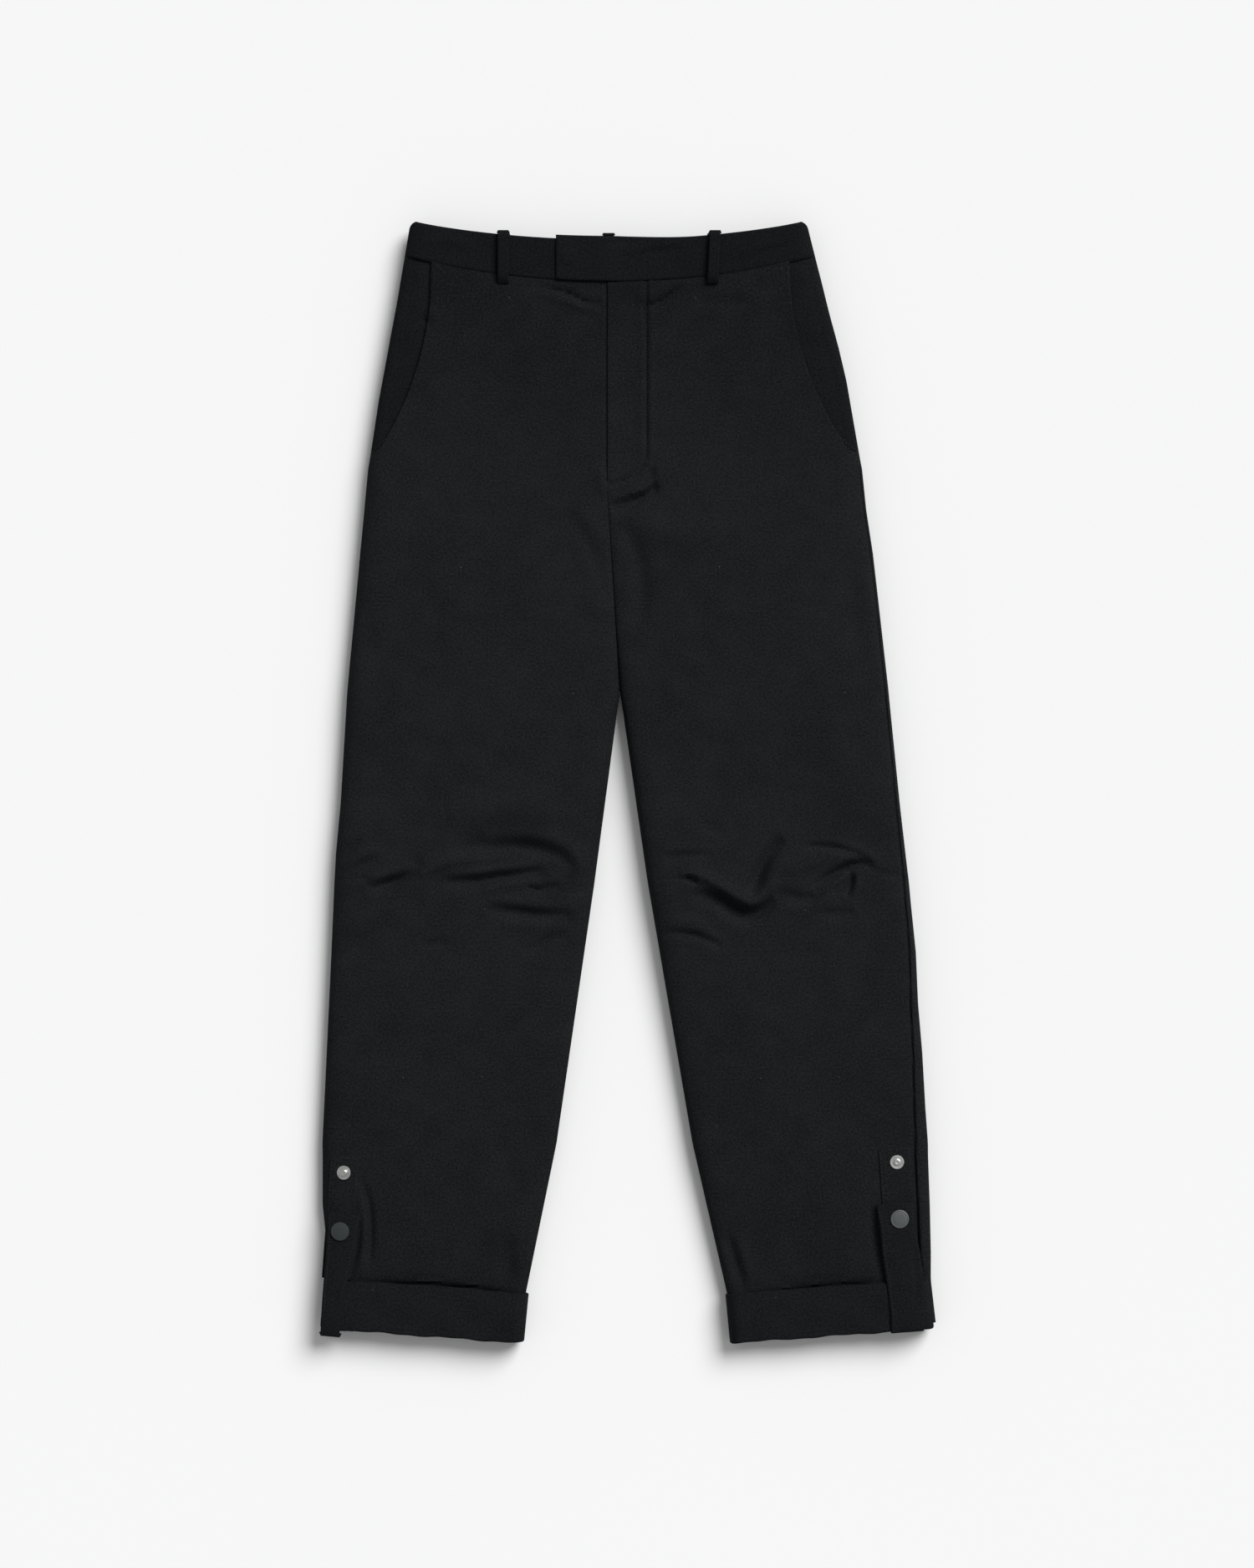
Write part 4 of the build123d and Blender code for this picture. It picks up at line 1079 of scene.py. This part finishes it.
def cuffPlace(side):
    # the rows run down the outside, round the bottom fold, up the inside and over the rim
    origin, along, up = hemFrame(side)
    lowBox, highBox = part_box(f"cuff_{name(side)}")
    middle, tall = (lowBox.z + highBox.z) / 2, (highBox.z - lowBox.z) / 2
    cloth, height = hem["cloth"], hem["height"]

    def place(u, v):
        parts = [v < 0.44, (v > 0.56) & (v < 0.97), v >= 0.97]
        fold = np.clip((v - 0.44) / 0.12, 0, 1)
        rim = np.clip((v - 0.97) / 0.03, 0, 1)
        inset = np.select(parts, [0 * v, cloth + 0 * v, cloth * (1 - rim)], cloth / 2 * (1 - np.cos(np.pi * fold)))
        outside, inside = height * (1 - v / 0.44), height * (v - 0.56) / 0.41
        over = height + 0.0006 * np.sin(np.pi * rim)
        w = np.select(parts, [outside, inside, over], -cloth / 2 * np.sin(np.pi * fold) * 1.3)
        front = u < 0.5
        s = np.where(front, u * 2, 2 - u * 2)
        s = 0.35 * s + 0.325 * (1 - np.cos(np.pi * s))
        half = hem["half"] - inset
        a = -half + 2 * half * s
        gap = np.minimum(a + half, half - a)
        h = (tall - inset) * rollOff(gap, hem["reach"] - inset * 0.5, 2.2)
        share = np.clip(w / height, 0, 1)
        outerShare = (side * a / hem["half"] + 1) / 2
        bulge = hem["rise"][name(side)] * np.sin(np.pi * np.clip(outerShare, 0, 1) ** 0.75)
        wave = 0.0005 * np.sin(a * 95 + side) + 0.0003 * np.sin(a * 240 + 2 * side)
        w = w + share * bulge * front + (1 - share) * wave + share * 0.5 * wave
        puff = 0.0007 * np.sin(np.pi * share) + 0.0004 * np.sin(a * 70 + w * 90) * np.sin(np.pi * share)
        h = h + np.where(gap > 0.012, puff, puff * gap / 0.012) * (inset < cloth / 2)
        spot = origin[:, None] + along[:, None] * a + up[:, None] * w
        z = middle + np.where(front, h, -np.minimum(h, tall - inset))
        return spot[0] + side * (math.tan(math.radians(hem["turn"])) - hem["lean"]) * w, spot[1], z
    return place


def closeLoops(piece):
    onlyThis(piece)
    bpy.ops.object.mode_set(mode="EDIT")
    bpy.ops.mesh.select_all(action="SELECT")
    bpy.ops.mesh.remove_doubles(threshold=0.00002)
    bpy.ops.mesh.normals_make_consistent(inside=False)
    bpy.ops.object.mode_set(mode="OBJECT")
    bpy.ops.object.shade_smooth_by_angle(angle=math.radians(60))


def makeCuffs():
    for cuffName, side in sides.items():
        # the cuffs are shell cloth, given the darker paint as painted shade
        cuff = makeSheet(f"cuff_cloth_{cuffName}", hem["columns"], hem["rows"], cuffPlace(side), 0,
                         "shell_cloth", paints["cuff_painted_shade"])
        closeLoops(cuff)
        cuff["flatLength"], cuff["flatArea"] = cuff["flatLength"] / 2, cuff["flatArea"] / 2
        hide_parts(f"cuff_{cuffName}")
        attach(cuff, f"{cuffName}_shin")
    print("cuffs turned up")


# hem tabs, the strips under them and their press studs
tab = {
    "inset": {"right": 0.022, "left": 0.024}, "cloth": 0.0022, "top": 0.0267, "rootHalf": 0.009, "rootCloth": 0.0018,
    "rootPath": [(-0.0020, 0.0226), (-0.0018, 0.0202), (0.0004, 0.0186), (0.0060, 0.0184), (0.0260, 0.0184)],
    "stripStart": 0.0445, "stripCloth": 0.0010, "stripProud": 0.0012,
}
tabShape = {  # across and up from the hem in mm: both edges of the strap, then where things sit
    "right": {
        "first": [(-8, -20.6), (24, -21.3), (74, -21.0), (106.5, -21.4)],
        "last": [(-8, -2.6), (9, -3.2), (29, -1.7), (54, 2.5), (79, 5.6), (106.5, 7.9)],
        "end": 106.5, "hem": -5.0, "snap": (-9.3, 89.5), "stud": (-10.0, 143.4),
        "strip": (-10.2, 13.6), "stripTop": 158, "slope": 0.12, "slopeFrom": -1.0, "tilt": 6,
        "folds": [(0.7, 5, [(-262, -430), (-266, -445), (-270, -475)]),
                  (-0.6, 4, [(-258, -436), (-266, -462), (-270, -492)])],
    },
    "left": {
        "first": [(-8, -16.4), (14, -15.4), (39, -16.6), (64, -18.7), (94, -19.6), (116.5, -20.9)],
        "last": [(-8, 13.0), (24, 17.3), (44, 17.8), (69, 15.6), (94, 12.4), (116.5, 12.1)],
        "end": 116.5, "hem": 0.0, "snap": (-1.0, 101.9), "stud": (0.6, 154.0),
        "strip": (-1.2, 15.0), "stripTop": 167, "slope": 0.10, "slopeFrom": 6.0, "tilt": 0,
        "folds": [(0.5, 5, [(246, -430), (250, -450), (256, -470)]),
                  (-0.6, 4, [(262, -420), (266, -450), (268, -480)])],
    },
}


def onTab(side, a, distance):
    origin, along, up = hemFrame(side)
    start = origin + along * side * (hem["half"] - tab["inset"][name(side)])
    return start[0] + along[0] * a + up[0] * distance, start[1] + along[1] * a + up[1] * distance


def offTab(side, x, y):
    # back from a place to how far across and up from the hem it lies
    _, along, up = hemFrame(side)
    cornerX, cornerY = onTab(side, 0, 0)
    return ((x - cornerX) * along[0] + (y - cornerY) * along[1],
            (x - cornerX) * up[0] + (y - cornerY) * up[1])


def tabEdges(side):
    shape = tabShape[name(side)]
    first, last = np.array(shape["first"]) * mm, np.array(shape["last"]) * mm

    def edges(distance):
        return np.interp(distance, *first.T), np.interp(distance, *last.T)
    return edges


def tabPath(side):
    top, end, under = tab["top"], tabShape[name(side)]["end"] * mm, tabShape[name(side)]["hem"] * mm
    return [(under - 0.0014, 0.0196), (under - 0.0030, 0.0228), (under - 0.0016, top - 0.0012), (0.0040, top),
            (0.0200, top - 0.0001), (0.0430, top - 0.0003), (0.0620, top - 0.0012), (0.0800, top - 0.0008),
            (0.0965, top - 0.0001), (end, top - 0.0002)]


def tabSag(side, a, x, y):
    # the strap leans over the rounded side of the leg
    shape = tabShape[name(side)]
    outside = np.clip(side * a - shape["slopeFrom"] * mm * (1 if side > 0 else -1), 0, None)
    return foldHeight(x, y, shape["folds"]) - shape["slope"] * outside


def stripHeight(side, x, y):
    return frontHeight(side, x, y) + tab["stripProud"]


def makeTabs():
    for tabName, side in sides.items():
        shape = tabShape[tabName]

        def lie(a, distance, side=side):
            return onTab(side, a, distance)

        base = ribbonPlace(tabPath(side), tabEdges(side), lie)

        def place(u, v, base=base, side=side):
            x, y, z = base(u, v)
            return x, y, z + tabSag(side, offTab(side, x, y)[0], x, y)

        strap = makeSheet(f"tab_strap_{tabName}", 30, 130, place, tab["cloth"], "tab_cloth")
        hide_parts(f"hem_tab_{tabName}")
        x0, y0 = onTab(side, 0, -0.0012)
        x1, y1 = onTab(side, 0, 0.013)
        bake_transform(strap)

        rootPlace = ribbonPlace(tab["rootPath"], lambda d: (tab["rootHalf"], -tab["rootHalf"]), lie)
        root = makeSheet(f"tab_root_cloth_{tabName}", 16, 60, rootPlace, tab["rootCloth"], "tab_cloth")
        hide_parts(f"tab_root_{tabName}")
        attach(root, f"{tabName}_shin")

        def stripPlace(u, v, side=side, shape=shape):
            middle, half = shape["strip"][0] * mm, shape["strip"][1] * mm
            low, high = tab["stripStart"], shape["stripTop"] * mm
            distance = low + (high - low) * evenEdges(v)
            corner = np.clip((distance - high + 0.004) / 0.004, 0, 0.98)
            a = middle + half * (2 * evenEdges(u) - 1) * (1 - (1 - np.sqrt(1 - corner ** 2)) * 0.22)
            x, y = onTab(side, a, distance)
            gap = np.minimum(half * (1 - np.abs(2 * evenEdges(u) - 1)), high - distance)
            return x, y, stripHeight(side, x, y) - softEdge(gap, 0.0014, 0.0009)

        strip = makeSheet(f"stud_strip_cloth_{tabName}", 30, 90, stripPlace, tab["stripCloth"],
                          "tab_cloth", paints["shell_cloth"])
        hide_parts(f"stud_strip_{tabName}")
        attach(strip, f"{tabName}_shin")
    print("hem tabs sewn")


# turned metal: a disc, then rings raised or sunk from its top
disc = {"around": 56, "smoothAngle": 35}


def turnedDisc(pieceName, x, y, base, steps, slotName, paint=None, tilt=0):
    # steps are (radius, height) from the outer foot upwards, in metres
    radius, height = steps[0]
    bpy.ops.object.select_all(action="DESELECT")
    bpy.ops.mesh.primitive_cylinder_add(vertices=disc["around"], radius=radius, depth=height,
                                        location=(0, 0, height / 2))
    piece = bpy.context.object
    piece.name = piece.data.name = pieceName
    bpy.ops.object.transform_apply(location=True, rotation=True, scale=True)
    bpy.ops.object.mode_set(mode="EDIT")
    bpy.ops.mesh.select_all(action="DESELECT")
    bpy.ops.object.mode_set(mode="OBJECT")
    for face in piece.data.polygons:
        face.select = face.normal.z > 0.9
    bpy.ops.object.mode_set(mode="EDIT")
    bpy.ops.mesh.select_mode(type="FACE")
    for wider, taller in steps[1:]:
        bpy.ops.mesh.extrude_region_move(TRANSFORM_OT_translate={"value": (0, 0, taller - height)})
        scale = wider / radius
        bpy.ops.transform.resize(value=(scale, scale, 1), center_override=(0, 0, taller))
        radius, height = wider, taller
    bpy.ops.mesh.select_all(action="SELECT")
    bpy.ops.mesh.normals_make_consistent(inside=False)
    bpy.ops.transform.translate(value=(x, y, base))
    if tilt:
        bpy.ops.transform.rotate(value=math.radians(tilt), orient_axis="Y", center_override=(x, y, base))
    bpy.ops.object.mode_set(mode="OBJECT")
    bpy.ops.object.shade_smooth_by_angle(angle=math.radians(disc["smoothAngle"]))
    piece.data.materials.append(paint or paints[slotName])
    return piece


# radius and height of each ring, in mm
capSteps = [(7.6, 0.2), (8.3, 0.35), (8.5, 0.65), (8.4, 1.0), (8.0, 1.25), (7.4, 1.32), (7.1, 1.26), (6.8, 1.22),
            (6.5, 1.28), (5.6, 1.40), (4.2, 1.48), (2.4, 1.53), (0.8, 1.55), (0.05, 1.55)]
studSteps = [(5.6, 0.15), (6.3, 0.2), (6.5, 0.45), (6.3, 0.72), (5.7, 0.80), (4.9, 0.68), (4.2, 0.52),
             (3.5, 0.50), (2.95, 0.58), (2.75, 0.9), (2.75, 1.5), (3.0, 2.0), (3.2, 2.4), (3.15, 2.75),
             (2.9, 3.02), (2.4, 3.15), (1.6, 3.2), (1.2, 3.12), (0.9, 3.05), (0.05, 3.05)]
waistStudSteps = [(5.6, 0.15), (6.3, 0.2), (6.5, 0.45), (6.3, 0.72), (5.6, 0.80), (4.4, 0.62), (3.4, 0.60),
                  (2.8, 0.8), (2.85, 1.2), (3.2, 1.5), (3.1, 1.8), (2.6, 1.97), (1.4, 2.0), (0.05, 1.95)]
socketSteps = [(5.6, 0.1), (6.0, 0.25), (6.0, 0.6), (5.7, 0.85), (5.0, 0.9), (4.4, 0.8), (4.0, 0.82),
               (3.7, 0.75), (3.55, 0.5), (3.5, 0.12), (0.05, 0.1)]


def inMetres(steps, share=1.0):
    return [(radius * mm, height * mm * share) for radius, height in steps]


def turnOver(piece, height):
    # a socket faces down: its rings are turned to the underside
    onlyThis(piece)
    bpy.ops.object.mode_set(mode="EDIT")
    bpy.ops.mesh.select_all(action="SELECT")
    bpy.ops.transform.resize(value=(1, 1, -1), center_override=(0, 0, height))
    bpy.ops.mesh.normals_make_consistent(inside=False)
    bpy.ops.object.mode_set(mode="OBJECT")


def atSpot(height, *values):
    return float(height(*[np.array([value]) for value in values])[0])


def makeSnaps():
    for snapName, side in sides.items():
        shape = tabShape[snapName]
        a, distance = np.array(shape["snap"]) * mm
        x, y = onTab(side, a, distance)
        sag = atSpot(lambda *spot, side=side: tabSag(side, *spot), a, x, y)
        # the right cap takes the darker copy of the enamel, painted shade
        cap = turnedDisc(f"cap_{snapName}", x, y, tab["top"] + sag - 0.0001, inMetres(capSteps),
                         "snap_cap_enamel", paints["snap_cap_right"] if side < 0 else None, shape["tilt"])
        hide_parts(f"snap_cap_{snapName}")
        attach(cap, f"{snapName}_tab")
        under = lowest(f"snap_socket_{snapName}").z + sag
        socket = turnedDisc(f"socket_{snapName}", x, y, under, inMetres(socketSteps), "snap_steel")
        turnOver(socket, under + 0.00045)
        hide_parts(f"snap_socket_{snapName}")
        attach(socket, f"{snapName}_tab")
        for number, (a, distance) in enumerate((shape["snap"], shape["stud"]), 1):
            x, y = onTab(side, a * mm, distance * mm)
            base = atSpot(lambda *spot, side=side: stripHeight(side, *spot), x, y)
            tilt = 2 * shape["tilt"] * (number == 2)
            lift = 0.0006 if tilt else 0  # clears the strip on its low side
            stud = turnedDisc(f"stud_{snapName}_{number}", x, y, base + lift, inMetres(studSteps), "snap_steel",
                              tilt=tilt)
            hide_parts(f"hem_studs_{snapName}")
            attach(stud, f"{snapName}_shin")
    stud = turnedDisc("waist_stud", waistSnap.x, waistSnap.y, lowest("waist_snap_stud").z,
                      inMetres(waistStudSteps), "snap_steel")
    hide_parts("waist_snap_stud")
    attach(stud, "seat")
    under = lowest("waist_snap_socket").z
    socket = turnedDisc("waist_socket", waistSnap.x, waistSnap.y, under, inMetres(socketSteps, 1.3),
                        "snap_steel")
    turnOver(socket, under + 0.0006)
    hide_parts("waist_snap_socket")
    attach(socket, "waist_tab")
    print("press studs set")


# behind the fly: each piece is a strip of cloth with the same profile all the way down
flyProfiles = {
    "fly_facing": [(-18.0, 22.7), (-12, 22.6), (0, 22.6), (17.6, 22.6)],
    "fly_shield": [(-36.8, 21.8), (-32, 21.0), (-27, 15.0), (-22, 12.8), (-8, 12.6), (17.6, 12.6)],
    "zip_tape_right": [(-30.8, 22.3), (-24, 21.4), (-19, 17.0), (-14, 15.8), (-5.0, 15.7)],
    "zip_tape_left": [(1.0, 15.7), (7, 15.9), (10.5, 18.5), (12.5, 21.2), (15.8, 21.7)],
}
flyCloth = {"columns": 40, "rows": 110, "facing": 0.0007, "tape": 0.0006, "shield": 0.0008, "points": 160}


def makeFly():
    for node, profile in flyProfiles.items():
        line = curveThrough(np.array(profile) * mm, flyCloth["points"])
        boxLow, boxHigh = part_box(node)

        def place(u, v, line=line, boxLow=boxLow, boxHigh=boxHigh, node=node):
            steps = np.linspace(0, 1, flyCloth["points"])
            x, z = np.interp(u, steps, line[:, 0]), np.interp(u, steps, line[:, 1])
            bottom = boxLow.y + 0.0008
            if node == "fly_facing":
                t = np.clip((x - fly["endX"]) / (boxHigh.x - fly["endX"]), 0, 0.999)
                bottom = bottom + (fly["turnY"] - fly["endY"]) * (1 - np.sqrt(1 - t ** 2))
            y = bottom + (boxHigh.y - 0.0006 - bottom) * v
            return x, y, z + 0.00015 * np.sin(y * 160 + x * 90)

        kind = node.split("_")[1]
        slotName = "zip_tape_cloth" if kind == "tape" else "facing_cloth"
        strip = makeSheet(f"{node}_cloth", flyCloth["columns"], flyCloth["rows"], place, flyCloth[kind],
                          slotName)
        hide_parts(node)
        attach(strip, "seat")
    for node in ("zip_slider", "zip_pull", "zip_stops", "zip_coil_right", "zip_coil_left"):
        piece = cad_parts[node]
        piece.data.materials.clear()
        piece.data.materials.append(paints["zip_coil_plastic" if "coil" in node else "zip_metal"])
    print("fly sewn, zip painted")


# stitches: a fine tube along a route that dips under the cloth between two stitches
stitch = {"pitch": 0.0031, "long": 0.0023, "radius": 0.00030, "around": 5, "dartPitch": 0.0026, "inside": 0.0024,
          "stripInside": 0.0018}


def stitchLine(pieceName, route, heightAt, body, pitch=None):
    pitch = pitch or stitch["pitch"]
    path = curveThrough(route, 900)
    gone = np.concatenate([[0], np.cumsum(np.linalg.norm(np.diff(path, axis=0), axis=1))])
    count = max(2, int(gone[-1] / pitch))
    around = stitch["around"]
    bpy.ops.object.select_all(action="DESELECT")
    bpy.ops.mesh.primitive_grid_add(x_subdivisions=around, y_subdivisions=4 * count - 1, size=1,
                                    location=(0, 0, 0))
    piece = bpy.context.object
    piece.name = piece.data.name = pieceName
    flat = np.zeros(len(piece.data.vertices) * 3, np.float32)
    piece.data.vertices.foreach_get("co", flat)
    flat = flat.reshape(-1, 3).astype(float)
    turn = (flat[:, 0] + 0.5) * 2 * np.pi
    row = np.rint((flat[:, 1] + 0.5) * (4 * count - 1)).astype(int)
    step = np.array([0.0, 0.28, 0.72, 1.0])[row % 4]
    at = (row // 4 + 0.5) * gone[-1] / count + (step - 0.5) * stitch["long"] * pitch / stitch["pitch"]
    radius = np.where((row % 4 == 0) | (row % 4 == 3), 0.000002, stitch["radius"])
    x, y = np.interp(at, gone, path[:, 0]), np.interp(at, gone, path[:, 1])
    dx = np.interp(at + 0.0002, gone, path[:, 0]) - np.interp(at - 0.0002, gone, path[:, 0])
    dy = np.interp(at + 0.0002, gone, path[:, 1]) - np.interp(at - 0.0002, gone, path[:, 1])
    size = np.hypot(dx, dy) + 1e-9
    z = heightAt(x, y) + np.where(radius > 0.0001, 0.00012, -0.00025)
    points = np.stack([x + dy / size * radius * np.cos(turn), y - dx / size * radius * np.cos(turn),
                       z + radius * 0.8 * np.sin(turn)], 1)
    piece.data.vertices.foreach_set("co", points.astype(np.float32).ravel())
    onlyThis(piece)
    bpy.ops.object.mode_set(mode="EDIT")
    bpy.ops.mesh.select_all(action="SELECT")
    bpy.ops.mesh.remove_doubles(threshold=0.00001)
    bpy.ops.mesh.delete_loose(use_verts=True, use_edges=True, use_faces=False)
    bpy.ops.mesh.select_all(action="SELECT")
    bpy.ops.mesh.normals_make_consistent(inside=False)
    bpy.ops.object.mode_set(mode="OBJECT")
    bpy.ops.object.shade_smooth_by_angle(angle=math.radians(60))
    piece.data.materials.append(paints["thread"])
    if body:
        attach(piece, body)
    return piece


def stitchPocket(sideName, side):
    ys = np.linspace(mouthEndY + 0.012, seamSideY - 0.010, 12)
    # the run 1.2 mm inside each mouth is an edge stitch; its dark thread also stands in for the shade along the
    # mouth's edge
    for run, inside in enumerate((0.0012, 0.0062), 1):
        route = np.stack([mouthX(side, ys) - side * inside, ys], 1)
        stitchLine(f"stitches_mouth_{sideName}_{run}", route, lambda x, y: frontHeight(side, x, y), "seat")


def stitchDarts(sideName, side):
    for run, route in enumerate(darts[sideName], 1):
        line = stitchLine(f"stitches_dart_{sideName}_{run}", np.array(route) * mm,
                          lambda x, y: frontHeight(side, x, y), None, stitch["dartPitch"])
        foldAtKnee(line, side)


def stitchTab(sideName, side):
    def tabTop(x, y):
        a, distance = offTab(side, x, y)
        path = np.array(tabPath(side)[3:])
        return np.interp(distance, path[:, 0], path[:, 1]) + tabSag(side, a, x, y)

    inside = stitch["inside"]
    ends = np.linspace(0.014, tabShape[sideName]["end"] * mm - inside, 8)
    first, last = tabEdges(side)(ends)
    up = [onTab(side, a + inside, d) for a, d in zip(first, ends)]
    down = [onTab(side, a - inside, d) for a, d in zip(last[::-1], ends[::-1])]
    stitchLine(f"stitches_tab_{sideName}", up + down, tabTop, f"{sideName}_tab")


def stitchStrip(sideName, side):
    middle, half = np.array(tabShape[sideName]["strip"]) * mm
    half -= stitch["stripInside"]
    top, bottom = tabShape[sideName]["stripTop"] * mm - stitch["stripInside"], 0.046
    corners = [(-half, bottom), (-half, top), (half, top), (half, bottom)]
    for run in range(3):
        (a0, d0), (a1, d1) = corners[run:run + 2]
        route = [onTab(side, middle + a, d) for a, d in zip(np.linspace(a0, a1, 6), np.linspace(d0, d1, 6))]
        stitchLine(f"stitches_strip_{sideName}_{run + 1}", route, lambda x, y: stripHeight(side, x, y),
                   f"{sideName}_shin")


def makeStitches():
    stitchLine("stitches_fly", jRoute(), lambda x, y: frontHeight(1, x, y) - jGroove(x, y), "seat")
    for sideName, side in sides.items():
        stitchPocket(sideName, side)
        stitchDarts(sideName, side)
        stitchTab(sideName, side)
        stitchStrip(sideName, side)
    print("stitched")


makers = [readOutline, mixPaints, makeStage, makeLegs, makePockets, makeBand, makeLoops, makeCuffs, makeTabs,
          makeSnaps, makeFly, makeStitches]
for maker in makers:
    maker()
